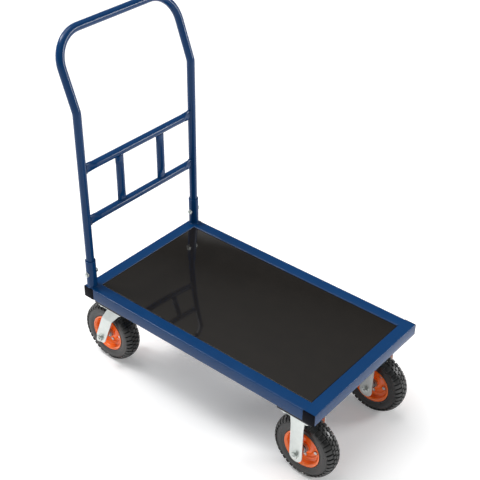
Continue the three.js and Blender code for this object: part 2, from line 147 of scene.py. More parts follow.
def soften(piece: Object, width: float, segments: int = 2, limit: float = math.radians(40)) -> None:
    """Rounds the piece's sharp edges with a small bevel and shades it smooth.

    Args:
        piece: The piece to soften.
        width: The bevel's width in millimetres.
        segments: How many faces the bevel has across.
        limit: Only edges sharper than this are rounded.
    """
    modify(piece, "BEVEL", width=width * MM, segments=segments, limit_method="ANGLE", angle_limit=limit)
    smooth(piece)


def select_faces(piece: Object, wanted: Callable[[Vector, Vector], bool]) -> None:
    """Opens the piece in edit mode with the faces selected whose centre and normal are wanted.

    Args:
        piece: The piece to open.
        wanted: Says yes or no for a face's centre and normal.
    """
    activate(piece)
    bpy.ops.object.mode_set(mode="EDIT")
    bpy.ops.mesh.select_mode(type="FACE")
    bpy.ops.mesh.select_all(action="DESELECT")
    bpy.ops.object.mode_set(mode="OBJECT")
    for face in piece.data.polygons:
        face.select = wanted(face.center, face.normal)
    bpy.ops.object.mode_set(mode="EDIT")


def select_edges(piece: Object, wanted: Callable[[Vector, Vector], bool]) -> None:
    """Opens the piece in edit mode with the edges selected whose two ends are wanted.

    Args:
        piece: The piece to open.
        wanted: Says yes or no for an edge's start and end.
    """
    activate(piece)
    bpy.ops.object.mode_set(mode="EDIT")
    bpy.ops.mesh.select_mode(type="EDGE")
    bpy.ops.mesh.select_all(action="DESELECT")
    bpy.ops.object.mode_set(mode="OBJECT")
    points = piece.data.vertices
    for edge in piece.data.edges:
        start, end = (points[index].co for index in edge.vertices)
        edge.select = wanted(start, end)
    bpy.ops.object.mode_set(mode="EDIT")


def named(name: str) -> Object:
    """Gives the object that was just added its name."""
    piece = bpy.context.object
    piece.name = name
    piece.data.name = name
    return piece


class Draft:
    """A mesh that grows in edit mode, by extruding and spinning what is selected."""

    def __init__(self, name: str, at: Vector) -> None:
        """Takes over the object that was just added, with all of it selected in edit mode.

        Args:
            name: The piece's name.
            at: The point that the draft starts from, in metres.
        """
        bpy.ops.object.transform_apply()
        self.piece = named(name)
        self.at = at.copy()
        bpy.ops.object.mode_set(mode="EDIT")
        bpy.ops.mesh.select_mode(type="VERT")
        self.select_all()

    @classmethod
    def of_point(cls, name: str, at: Vector) -> "Draft":
        """Starts as a small plane that is merged to one point.

        Args:
            name: The piece's name.
            at: The first point, in metres.

        Returns:
            The new draft, with the point selected.
        """
        deselect_all()
        bpy.ops.mesh.primitive_plane_add(size=MM, location=at)
        draft = cls(name, at)
        bpy.ops.mesh.merge(type="CENTER")
        return draft

    @classmethod
    def of_circle(cls, name: str, at: Vector, along: Vector, radius: float, sides: int) -> "Draft":
        """Starts as a circle.

        Args:
            name: The piece's name.
            at: The circle's centre, in metres.
            along: The direction that the circle faces.
            radius: The circle's radius, in metres.
            sides: How many points it has.

        Returns:
            The new draft, with the circle selected.
        """
        deselect_all()
        turn = along.to_track_quat("Z", "Y").to_euler()
        bpy.ops.mesh.primitive_circle_add(vertices=sides, radius=radius, location=at, rotation=turn)
        return cls(name, at)

    def extrude_to(self, target: Vector) -> None:
        """Extrudes what is selected in a straight line to the target."""
        bpy.ops.mesh.extrude_region_move(TRANSFORM_OT_translate={"value": target - self.at})
        self.at = target.copy()

    def select_all(self) -> None:
        """Selects the whole draft."""
        bpy.ops.mesh.select_all(action="SELECT")

    def scale(self, factors: Vector) -> None:
        """Scales what is selected about the point that the draft has reached."""
        bpy.ops.transform.resize(value=factors, center_override=self.at)

    def spin(self, centre: Vector, axis: Vector, angle: float, steps: int) -> None:
        """Extrudes what is selected round an arc, right-handed about the axis.

        Args:
            centre: A point on the axis.
            axis: The direction of the axis.
            angle: How far to turn, in radians.
            steps: How many extrusions the arc has.
        """
        bpy.ops.mesh.spin(steps=steps, angle=-angle, center=centre, axis=axis)
        self.at = centre + Matrix.Rotation(angle, 3, axis) @ (self.at - centre)

    def fill(self) -> None:
        """Closes the loop of edges that is selected with one face."""
        bpy.ops.mesh.edge_face_add()

    def finish(self) -> Object:
        """Merges doubles, turns the faces outwards and leaves edit mode.

        Returns:
            The finished piece.
        """
        self.select_all()
        bpy.ops.mesh.remove_doubles(threshold=WELD_DISTANCE)
        bpy.ops.mesh.normals_make_consistent(inside=False)
        bpy.ops.object.mode_set(mode="OBJECT")
        return self.piece


def rounded(corners: Sequence[Corner], steps: int = 3, closed: bool = True) -> list[Vector]:
    """Turns the corners of an outline into arcs.

    Args:
        corners: The outline's corners as (across, along, radius of the arc).
        steps: How many straight pieces an arc has.
        closed: Whether the outline's last corner joins its first.

    Returns:
        The outline's points, in the corners' own unit.
    """
    points = []
    for index, (across, along, radius) in enumerate(corners):
        here = Vector((across, along))
        is_end = not closed and index in (0, len(corners) - 1)
        if radius == 0 or is_end:
            points.append(here)
            continue
        before = (Vector(corners[index - 1][:2]) - here).normalized()
        after = (Vector(corners[(index + 1) % len(corners)][:2]) - here).normalized()
        half = before.angle(after) / 2
        centre = here + (before + after).normalized() * radius / math.sin(half)
        start = here + before * radius / math.tan(half) - centre
        end = here + after * radius / math.tan(half) - centre
        turn = math.atan2(start.x * end.y - start.y * end.x, start.dot(end))
        for step in range(steps + 1):
            angle = turn * step / steps
            cosine, sine = math.cos(angle), math.sin(angle)
            turned_start = (start.x * cosine - start.y * sine, start.x * sine + start.y * cosine)
            points.append(centre + Vector(turned_start))
    return points


def turned(
    name: str, outline: Sequence[Vector], centre: Vector, axis: Vector, steps: int, closed: bool = True
) -> Object:
    """Turns an outline about an axis, as on a lathe.

    Args:
        name: The piece's name.
        outline: Points as (radius, place along the axis), in millimetres.
        centre: The zero of the outline, in metres.
        axis: The axis, which is Y or Z.
        steps: How many faces there are round the axis.
        closed: Whether the outline's last point joins its first.

    Returns:
        The turned piece.
    """
    path = [centre + (X * point[0] + axis * point[1]) * MM for point in outline]
    draft = Draft.of_point(name, path[0])
    for target in [*path[1:], *path[: int(closed)]]:
        draft.extrude_to(target)
    draft.select_all()
    draft.spin(centre, axis, math.tau, steps)
    return draft.finish()


def block(name: str, low: Vector, high: Vector) -> Object:
    """Adds a box between two corners, in metres."""
    deselect_all()
    bpy.ops.mesh.primitive_cube_add(size=1, location=(low + high) / 2, scale=high - low)
    bpy.ops.object.transform_apply()
    return named(name)


def plate(name: str, low: Vector, high: Vector, corner: float, edge: float) -> Object:
    """Makes a flat plate with round corners and softened edges.

    Args:
        name: The piece's name.
        low: Its lowest corner, in metres.
        high: Its highest corner, in metres.
        corner: The corners' radius seen from above, in millimetres.
        edge: The width of the softened edges, in millimetres.

    Returns:
        The plate.
    """
    piece = block(name, low, high)
    select_edges(piece, lambda start, end: abs((end - start).z) > WELD_DISTANCE)
    bpy.ops.mesh.bevel(offset=corner * MM, segments=5, affect="EDGES")
    soften(piece, edge)
    return piece


def square_tube(name: str, low: Vector, high: Vector, along: int, corner: float, wall: float) -> Object:
    """Makes a length of rectangular steel tube with round corners, open at both ends.

    Args:
        name: The piece's name.
        low: Its lowest corner, in metres.
        high: Its highest corner, in metres.
        along: The number of the axis that it runs along.
        corner: The outer radius of its corners, in millimetres.
        wall: The thickness of its wall, in millimetres.

    Returns:
        The tube.
    """
    piece = block(name, low, high)
    select_edges(piece, lambda start, end: abs((end - start)[along]) > WELD_DISTANCE)
    bpy.ops.mesh.bevel(offset=corner * MM, segments=4, affect="EDGES")
    select_faces(piece, lambda centre, normal: abs(normal[along]) > FACING)
    bpy.ops.mesh.delete(type="FACE")
    bpy.ops.object.mode_set(mode="OBJECT")
    modify(piece, "SOLIDIFY", thickness=wall * MM, offset=-1, use_even_offset=True)
    smooth(piece)
    return piece


def rod(name: str, start: Vector, end: Vector, radius: float, sides: int = 24) -> Object:
    """Makes a closed round bar between two points, used for cutting, with a radius in millimetres."""
    along = end - start
    draft = Draft.of_circle(name, start, along.normalized(), radius * MM, sides)
    draft.fill()
    draft.extrude_to(end)
    return draft.finish()


def copy_of(master: Object, name: str, move: Matrix) -> Object:
    """Copies a piece, with a mesh of its own.

    Args:
        master: The piece to copy.
        name: The copy's name.
        move: Where the copy goes.

    Returns:
        The copy, in place, with its object at the origin.
    """
    piece = master.copy()
    piece.data = master.data.copy()
    piece.name = name
    piece.data.name = name
    piece.data.transform(move)
    if move.determinant() < 0:
        piece.data.flip_normals()
    bpy.context.scene.collection.objects.link(piece)
    return piece


def joined(name: str, pieces: Sequence[Object]) -> Object:
    """Joins pieces of one kind, such as a ring of bolts, into one object."""
    activate(pieces[0])
    for piece in pieces[1:]:
        piece.select_set(True)
    bpy.ops.object.join()
    return named(name)


def facing(origin: Vector, direction: Vector) -> Matrix:
    """The move that takes Z at the origin to a direction at a point."""
    return Matrix.Translation(origin) @ direction.to_track_quat("Z", "Y").to_matrix().to_4x4()


def middle(node: str) -> Vector:
    """The centre of a CAD node's box."""
    low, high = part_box(node)
    return (low + high) / 2


# ---------------------------------------------------------------- finishes
def linear(code: str) -> tuple[float, float, float, float]:
    """Turns an sRGB hex colour to the linear values that a shader takes."""
    channels = [int(code[start : start + 2], 16) / 255 for start in (0, 2, 4)]
    values = [c / 12.92 if c <= 0.04045 else ((c + 0.055) / 1.055) ** 2.4 for c in channels]
    return (*values, 1.0)


def add_node(
    tree: bpy.types.NodeTree, kind: str, settings: dict | None = None, links: dict | None = None
) -> bpy.types.Node:
    """Adds a node with its settings and links.

    Args:
        tree: The node tree.
        kind: The node's type.
        settings: Values by name, of the node itself or of its sockets.
        links: The output socket that feeds each named input.

    Returns:
        The new node.
    """
    made = tree.nodes.new(kind)
    for name, value in (settings or {}).items():
        if name in made.inputs:
            made.inputs[name].default_value = value
        else:
            setattr(made, name, value)
    for name, source in (links or {}).items():
        tree.links.new(source, made.inputs[name])
    return made


@dataclass(frozen=True)
class Finish:
    """What every finish has: a mottled colour, a mottled roughness and a fine bump."""

    name: str
    colour: str
    other_colour: str
    mottle: float
    roughness: tuple[float, float]
    grain: float
    grain_depth: float
    metallic: float = 0.0
    specular: float = 0.5
    coat: float = 0.0
    stretch: tuple[float, float, float] = (1.0, 1.0, 1.0)

    @staticmethod
    def pattern(tree: bpy.types.NodeTree, place: bpy.types.NodeSocket, size: float) -> bpy.types.Node:
        """A noise whose blots are about the given size in millimetres."""
        settings = {"Scale": 1 / (size * MM), "Detail": 3.0, "Roughness": 0.55}
        return add_node(tree, "ShaderNodeTexNoise", settings, {"Vector": place})

    def build(self) -> bpy.types.Material:
        """Makes the material.

        Returns:
            The material, whose patterns read Object coordinates.
        """
        material = bpy.data.materials.new(self.name)
        material.use_nodes = True
        tree = material.node_tree
        shader = tree.nodes["Principled BSDF"]
        place = add_node(tree, "ShaderNodeTexCoord").outputs["Object"]
        lying = add_node(tree, "ShaderNodeMapping", {"Scale": self.stretch}, {"Vector": place})
        blots = self.pattern(tree, lying.outputs["Vector"], self.mottle)
        tint = {"data_type": "RGBA"}
        colour = add_node(tree, "ShaderNodeMix", tint, {"Factor": blots.outputs["Fac"]})
        colour.inputs[MIX_FIRST_COLOUR].default_value = linear(self.colour)
        colour.inputs[MIX_SECOND_COLOUR].default_value = linear(self.other_colour)
        low, high = self.roughness
        dull = {"From Min": 0.3, "From Max": 0.7, "To Min": low, "To Max": high}
        gloss = add_node(tree, "ShaderNodeMapRange", dull, {"Value": blots.outputs["Fac"]})
        fine = self.pattern(tree, lying.outputs["Vector"], self.grain)
        depth = {"Strength": 1.0, "Distance": self.grain_depth * MM}
        bump = add_node(tree, "ShaderNodeBump", depth, {"Height": fine.outputs["Fac"]})
        tree.links.new(colour.outputs[MIX_COLOUR_RESULT], shader.inputs["Base Color"])
        tree.links.new(gloss.outputs["Result"], shader.inputs["Roughness"])
        tree.links.new(bump.outputs["Normal"], shader.inputs["Normal"])
        shader.inputs["Metallic"].default_value = self.metallic
        if not self.metallic:
            shader.inputs["Specular IOR Level"].default_value = self.specular
        shader.inputs["Coat Weight"].default_value = self.coat
        return material


# Polyester powder coat, sprayed and baked: an even, glossy deep blue with a shallow orange peel. The
# real peel is about 1.5 mm from crest to crest.
POWDER_COAT = Finish("blue_powder_coat", "07325E", "0B3A68", 70, (0.15, 0.21), 1.6, 0.010, specular=0.22)
# Painted shade: a coat on the pads over the casters, black with a blue cast, which stands for the shade
# under the rails; it is duller than the blue paint.
PAD_SHADE_COAT = Finish("black_powder_coat", "050A18", "0A1020", 50, (0.35, 0.45), 1.6, 0.02, specular=0.25)
# Phenolic film on plywood: almost black with a brown cast, and glossy enough to mirror the handle.
FILM_FACED = Finish("film_faced_plywood", "1B1917", "211E1B", 45, (0.05, 0.09), 3.0, 0.002, specular=0.45)
# Bright zinc plate: a cool light grey, with faint clouds from the bath.
ZINC_PLATE = Finish("zinc_plate", "D6DBD8", "C8CDCA", 14, (0.32, 0.44), 1.2, 0.006, metallic=1.0)
# Polyethylene caps, moulded with a fine sparked grain: nearly black plastic, made darker still and given a
# navy cast as painted shade, the shade of a hollow tube end; duller than the paint.
CAP_PLASTIC_AND_SHADE = Finish("moulded_polyethylene", "02040D", "040714", 9, (0.40, 0.50), 0.8, 0.02, specular=0.05)
# Carbon-filled rubber out of a steel mould: nearly black, with a soft sheen and duller clouds in it.
# The real bloom is finer.
MOULDED_RUBBER = Finish("moulded_rubber", "0D0E0E", "161717", 16, (0.26, 0.38), 1.0, 0.02, specular=0.6)
# Baked enamel on the pressed rims: a wet-looking orange.
RIM_ENAMEL = Finish("orange_enamel", "FA6C1A", "FF7A28", 20, (0.18, 0.28), 2.0, 0.01, coat=0.3)
# Turned steel of the hubs: a little darker than the zinc, with a sharper shine.
BEARING_STEEL = Finish("turned_steel", "B9BCBE", "A6AAAD", 5, (0.25, 0.35), 0.6, 0.004, metallic=1.0)


class Workshop:
    """Dresses finished pieces and hands them to the frame."""

    def __init__(self) -> None:
        """Builds each material once."""
        self.slots = {
            POWDER_COAT: "blue_paint",
            PAD_SHADE_COAT: "black_paint",
            FILM_FACED: "filmed_board",
            ZINC_PLATE: "zinc_plate",
            CAP_PLASTIC_AND_SHADE: "black_plastic",
            MOULDED_RUBBER: "tyre_rubber",
            RIM_ENAMEL: "orange_paint",
            BEARING_STEEL: "bearing_steel",
        }
        self.materials = {finish: finish.build() for finish in self.slots}

    def paint(self, piece: Object, finish: Finish) -> None:
        """Gives the whole piece one finish."""
        piece.data.materials.clear()
        piece.data.materials.append(self.materials[finish])

    def deliver(self, piece: Object, finish: Finish, body: str, *nodes: str) -> Object:
        """Paints a piece, lets it ride on its body and in place of its CAD nodes.

        Args:
            piece: The finished piece.
            finish: Its finish.
            body: The body that it moves with.
            *nodes: The CAD nodes that it stands for.

        Returns:
            The piece.
        """
        self.paint(piece, finish)
        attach(piece, body)
        if nodes:
            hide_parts(*nodes)
        logger.info("%s: %d faces, rides on %s", piece.name, len(piece.data.polygons), body)
        return piece


# ---------------------------------------------------------------- fasteners
@dataclass(frozen=True)
class Thread:
    """A bolt size: hexagon across its flats, shank radius, pitch and the height of head and nut.

    Heads and nuts are chamfered down to a circle that is a part of the width across the flats.
    """

    across: float
    radius: float
    pitch: float
    height: float
    turned_down: float = 0.94
    chamfer: float = math.radians(30)
    overrun: float = 1.0

    def hexagon(self, name: str, low: float, high: float, chamfer_low: bool) -> Object:
        """A hexagon along Z between two heights, turned down at its corners.

        Args:
            name: The piece's name.
            low: Its lower face, in millimetres.
            high: Its upper face, in millimetres.
            chamfer_low: Whether the lower face is chamfered as well.

        Returns:
            The hexagon.
        """
        radius = self.across / math.sqrt(3)
        # Each end is cut by one of the two shapes and passed by the other. Were they level there, the
        # cut would now and then lose the end's faces.
        start = low - self.overrun if chamfer_low else low
        draft = Draft.of_circle(name, Z * start * MM, Z, radius * MM, 6)
        draft.fill()
        draft.extrude_to(Z * (high + self.overrun) * MM)
        prism = draft.finish()
        flat = self.turned_down * self.across / 2
        drop = (radius - flat) * math.tan(self.chamfer)
        wide = radius * 1.01
        foot = low - self.overrun
        lower = [(0, low), (flat, low), (wide, low + drop)] if chamfer_low else [(0, foot), (wide, foot)]
        outline = [*lower, (wide, high - drop), (flat, high), (0, high)]
        blank = turned("blank", [Vector(point) for point in outline], Vector(), Z, 36, closed=False)
        keep_common(prism, blank)
        return prism

    def bolt(self, name: str, length: float, threaded: float) -> Object:
        """A bolt along Z, its head above z = 0 and its shank below.

        Args:
            name: The piece's name.
            length: The shank's length, in millimetres.
            threaded: How much of its end is threaded, in millimetres.

        Returns:
            The bolt.
        """
        head = self.hexagon("head", 0, self.height, chamfer_low=False)
        core = self.radius - 0.6 * self.pitch
        outline = [(0, 1.0), (self.radius, 1.0), (self.radius, threaded - length)]
        turns = int(threaded / self.pitch)
        for turn in range(turns):
            crest = threaded - length - turn * self.pitch
            outline += [(core, crest - 0.5 * self.pitch), (self.radius, crest - self.pitch)]
        outline += [(core * 0.9, outline[-1][1] - 0.8), (0, outline[-1][1] - 0.8)]
        shank = turned("shank", [Vector(point) for point in outline], Vector(), Z, 20, closed=False)
        bolt = joined(name, [head, shank])
        smooth(bolt)
        return bolt

    def nut(self, name: str) -> Object:
        """A nut along Z, from z = 0 up."""
        nut = self.hexagon(name, 0, self.height, chamfer_low=True)
        cut_with(nut, rod("bore", Z * -MM, Z * (self.height + 1) * MM, self.radius + 0.2))
        smooth(nut)
        return nut

    def washer(self, name: str, thickness: float) -> Object:
        """A washer along Z, from z = 0 up."""
        outer, bore = self.across * 0.6, self.radius + 0.35
        corners = [(bore, 0, 0), (outer, 0, 0.3), (outer, thickness, 0.3), (bore, thickness, 0)]
        washer = turned(name, rounded(corners, 2), Vector(), Z, 32)
        smooth(washer)
        return washer


M6 = Thread(across=10, radius=3, pitch=1.0, height=4)
M8 = Thread(across=13, radius=4, pitch=1.25, height=5.5)
M12 = Thread(across=19, radius=6, pitch=1.75, height=7.6)
KINGPIN = Thread(across=22, radius=6.5, pitch=1.75, height=8.5)


# ---------------------------------------------------------------- frame
@dataclass
class Welder:
    """Lays weld beads: straight seams and rings, rippled as a welder's steps leave them."""

    workshop: Workshop
    bead: float = 2.2
    ripple: float = 0.35
    step: float = 2.6

    def seam(self, name: str, start: Vector, end: Vector, body: str) -> Object:
        """A straight seam.

        Args:
            name: The piece's name.
            start: Its first point, in metres.
            end: Its last point, in metres.
            body: The body that it moves with.

        Returns:
            The seam, painted over.
        """
        length = (end - start).length / MM
        steps = max(2, round(length / self.step))
        outline = [(0, 0), (self.bead * 0.7, 0.4)]
        for index in range(1, 2 * steps):
            swell = self.ripple if index % 2 else -self.ripple
            outline.append((self.bead + swell, length * index / (2 * steps)))
        outline += [(self.bead * 0.7, length - 0.4), (0, length)]
        bead = turned("bead", [Vector(point) for point in outline], Vector(), Z, 8, closed=False)
        bead.data.transform(facing(start, (end - start).normalized()))
        bead.name = name
        bead.data.name = name
        smooth(bead, math.pi)
        return self.workshop.deliver(bead, POWDER_COAT, body)

    def ring(self, name: str, centre: Vector, axis: Vector, radius: float, body: str) -> Object:
        """A ring of weld round a tube.

        Args:
            name: The piece's name.
            centre: The ring's centre, in metres.
            axis: The tube's direction.
            radius: The tube's outer radius, in millimetres.
            body: The body that the ring moves with.

        Returns:
            The ring, painted over.
        """
        steps = round(math.tau * radius / self.step) * 2
        section = [
            Vector((radius + self.bead * math.cos(turn), self.bead * math.sin(turn)))
            for turn in (math.tau * index / 8 for index in range(8))
        ]
        ring = turned("ring", section, Vector(), Z, steps)
        for point in ring.data.vertices:
            angle = math.atan2(point.co.y, point.co.x)
            swell = self.ripple * math.cos(angle * steps / 2) * MM
            point.co += Vector((point.co.x, point.co.y, 0)).normalized() * swell
        ring.data.transform(facing(centre, axis))
        ring.name = name
        ring.data.name = name
        smooth(ring, math.pi)
        return self.workshop.deliver(ring, POWDER_COAT, body)


@dataclass
class DeckFrame:
    """The welded frame of square tube, its end caps, cross members and caster plates."""

    workshop: Workshop
    welder: Welder
    corner: float = 3.0
    wall: float = 2.0
    plate_corner: float = 4.0
    plate_edge: float = 0.6
    pad_seams: tuple[tuple[float, float], ...] = ((0.08, 0.38), (0.62, 0.92))
    ground_proud: float = 0.04
    ground_lap: float = 0.6
    ground_inset: float = 2.6
    ground_edge: float = 0.03
    cap_thickness: float = 2.5
    cap_rim: float = 1.5
    cap_cushion: float = 0.6
    cap_edge: float = 0.4
    plug_reach: float = 14.0
    plug_wall: float = 3.0
    plug_gap: float = 0.4
    plug_hollow: float = 0.8

    def beams(self) -> None:
        """The two side rails, the two end beams and the cross members."""
        runs = [(f"{side.word}_side_rail", 0) for side in Side]
        runs += [(f"{end.word}_end_beam", 1) for end in End]
        runs += [(f"cross_member_{number}", 1) for number in (1, 2, 3)]
        for node, along in runs:
            low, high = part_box(node)
            tube = square_tube(f"{node}_tube", low, high, along, self.corner, self.wall)
            self.workshop.deliver(tube, POWDER_COAT, "chassis", node)

    def corner_welds(self, side: Side, end: End) -> None:
        """The seams of one corner, where a rail butts against an end beam.

        One stands inside the corner, one lies under it, and the one on top is ground flush.

        Args:
            side: The side that the rail is on.
            end: The end that the beam is at.
        """
        corner = f"{end.word}_{side.word}"
        low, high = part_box(f"{side.word}_side_rail")
        inner = low.y if side is Side.LEFT else high.y
        x = high.x if end is End.FRONT else low.x
        foot, head = Vector((x, inner, low.z)), Vector((x, inner, high.z - self.corner * 4 * MM))
        self.welder.seam(f"{corner}_corner_weld", foot, head, "chassis")
        under = [Vector((x, y, low.z)) for y in (low.y + self.corner * MM, high.y - self.corner * MM)]
        self.welder.seam(f"{corner}_under_weld", *under, "chassis")
        reach = (self.corner + self.ground_lap) * MM
        ends = sorted((x - end.value * self.ground_lap * MM, x + end.value * reach))
        inset = self.ground_inset * MM
        ground_low = Vector((ends[0], low.y + inset, high.z - self.corner * MM))
        ground_high = Vector((ends[1], high.y - inset, high.z + self.ground_proud * MM))
        ground = block(f"{corner}_ground_weld", ground_low, ground_high)
        soften(ground, self.ground_edge)
        self.workshop.deliver(ground, POWDER_COAT, "chassis")

    def cap(self, side: Side, end: End) -> None:
        """One moulded cap in the end of an end beam: a cushioned face on a hollow plug.

        Args:
            side: The side that the cap faces.
            end: The end that the beam is at.
        """
        node = f"{end.word}_{side.word}_end_plug"
        low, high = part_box(node)
        face = (low if side is Side.RIGHT else high).copy()
        inside = face - Vector((0, side.value * self.cap_thickness * MM, 0))
        near, far = sorted((face.y, inside.y))
        cap = block(f"{node}_cap", Vector((low.x, near, low.z)), Vector((high.x, far, high.z)))
        select_edges(cap, lambda a, b: abs((b - a).y) > WELD_DISTANCE)
        bpy.ops.mesh.bevel(offset=self.corner * MM, segments=4, affect="EDGES")
        select_faces(cap, lambda centre, normal: normal.y * side.value > FACING)
        bpy.ops.mesh.inset(thickness=self.cap_rim * MM, depth=self.cap_cushion * MM)
        bpy.ops.object.mode_set(mode="OBJECT")
        soften(cap, self.cap_edge)
        reach = self.plug_reach * MM
        bore = (self.wall + self.plug_gap) * MM
        near, far = sorted((inside.y, inside.y - side.value * reach))
        plug_low = Vector((low.x + bore, near, low.z + bore))
        plug_high = Vector((high.x - bore, far, high.z - bore))
        plug = block("plug", plug_low, plug_high)
        select_faces(plug, lambda centre, normal: normal.y * side.value < -FACING)
        bpy.ops.mesh.inset(thickness=self.plug_wall * MM)
        hollow = (0, side.value * self.plug_hollow * reach, 0)
        bpy.ops.mesh.extrude_region_move(TRANSFORM_OT_translate={"value": hollow})
        bpy.ops.object.mode_set(mode="OBJECT")
        cap = joined(f"{node}_cap", [cap, plug])
        # The caps' navy cast and extra darkness are painted shade; the black is the plastic's own.
        self.workshop.deliver(cap, CAP_PLASTIC_AND_SHADE, "chassis", node)

    def caster_pad(self, side: Side, end: End) -> None:
        """The thick plate under one corner that a caster bolts to, with its two weld seams.

        Args:
            side: The side that the plate is on.
            end: The end that the plate is at.
        """
        node = f"{end.word}_{side.word}_mount_plate"
        low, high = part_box(node)
        pad = plate(f"{node}_pad", low, high, self.plate_corner, self.plate_edge)
        # The pads' near-black coat is painted shade: the shade under the rails.
        self.workshop.deliver(pad, PAD_SHADE_COAT, "chassis", node)
        rail_low, rail_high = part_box(f"{side.word}_side_rail")
        inner = rail_low.y if side is Side.LEFT else rail_high.y
        for number, parts in enumerate(self.pad_seams, 1):
            ends = [Vector((low.x + (high.x - low.x) * part, inner, high.z)) for part in parts]
            self.welder.seam(f"{end.word}_{side.word}_pad_weld_{number}", *ends, "chassis")

    def build(self) -> None:
        """Builds the whole frame."""
        self.beams()
        for side in Side:
            for end in End:
                self.corner_welds(side, end)
        for end in End:
            for side in Side:
                self.cap(side, end)
        for end in End:
            for side in Side:
                self.caster_pad(side, end)


@dataclass
class DeckBoard:
    """The film-faced plywood board that lies in the frame."""

    workshop: Workshop
    corner: float = 1.5
    edge: float = 0.5

    def build(self) -> None:
        """Cuts the board to its box and eases its edges."""
        low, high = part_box("deck_panel")
        board = plate("deck_board", low, high, self.corner, self.edge)
        self.workshop.deliver(board, FILM_FACED, "chassis", "deck_panel")


# ---------------------------------------------------------------- handle
@dataclass
class HandleSockets:
    """The two upright sockets welded to the rear beam, each with its clamp bolt."""

    workshop: Workshop
    welder: Welder
    lip: float = 0.6
    tube_gap: float = 0.4
    washer: float = 1.4
    bolt_end: float = 3.0
    bolt_thread: float = 16.0

    def socket(self, side: Side, tube_radius: float) -> None:
        """One socket, with the weld at its foot.

        Args:
            side: The side that it stands on.
            tube_radius: The radius of the handle's tube, in millimetres.
        """
        node = f"{side.word}_handle_socket"
        low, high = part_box(node)
        axis = Vector(((low.x + high.x) / 2, (low.y + high.y) / 2, low.z))
        radius = (high.x - low.x) / 2 / MM
        height = (high.z - low.z) / MM
        bore = tube_radius + self.tube_gap
        corners = [(bore, 0, 0), (radius, 0, 0), (radius, height, self.lip), (bore, height, self.lip)]
        sleeve = turned(f"{node}_sleeve", rounded(corners), axis, Z, 48)
        smooth(sleeve)
        self.workshop.deliver(sleeve, POWDER_COAT, "chassis", node)
        self.welder.ring(f"{node}_weld", axis, Z, radius, "chassis")

    def clamp(self, side: Side) -> None:
        """The bolt through a socket, its nut and its two washers."""
        bolt_node, nut_node = f"{side.word}_clamp_bolt", f"{side.word}_clamp_nut"
        nut_low, nut_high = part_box(nut_node)
        socket_low, socket_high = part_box(f"{side.word}_handle_socket")
        axis = Vector(((nut_low.x + nut_high.x) / 2, 0, (nut_low.z + nut_high.z) / 2))
        outer = socket_high.y if side is Side.LEFT else socket_low.y
        inner = socket_low.y if side is Side.LEFT else socket_high.y
        outward = Y * side.value
        through = abs(outer - inner) / MM + 2 * self.washer + M8.height + self.bolt_end
        head_face = axis + Y * outer + outward * self.washer * MM
        nut_face = axis + Y * inner - outward * self.washer * MM
        bolt = M8.bolt("bolt", through, self.bolt_thread)
        placed = copy_of(bolt, f"{bolt_node}_screw", facing(head_face, outward))
        self.workshop.deliver(placed, ZINC_PLATE, "chassis", bolt_node)
        nut = M8.nut("nut")
        placed = copy_of(nut, f"{nut_node}_hex", facing(nut_face, -outward))
        self.workshop.deliver(placed, ZINC_PLATE, "chassis", nut_node)
        washer = M8.washer("washer", self.washer)
        for word, at, way in (("outer", outer, outward), ("inner", inner, -outward)):
            placed = copy_of(washer, f"{side.word}_clamp_{word}_washer", facing(axis + Y * at, way))
            self.workshop.deliver(placed, ZINC_PLATE, "chassis")
        discard(bolt, nut, washer)

    def build(self, tube_radius: float) -> None:
        """Builds both sockets for a tube of that radius, in millimetres."""
        for side in Side:
            self.socket(side, tube_radius)
            self.clamp(side)


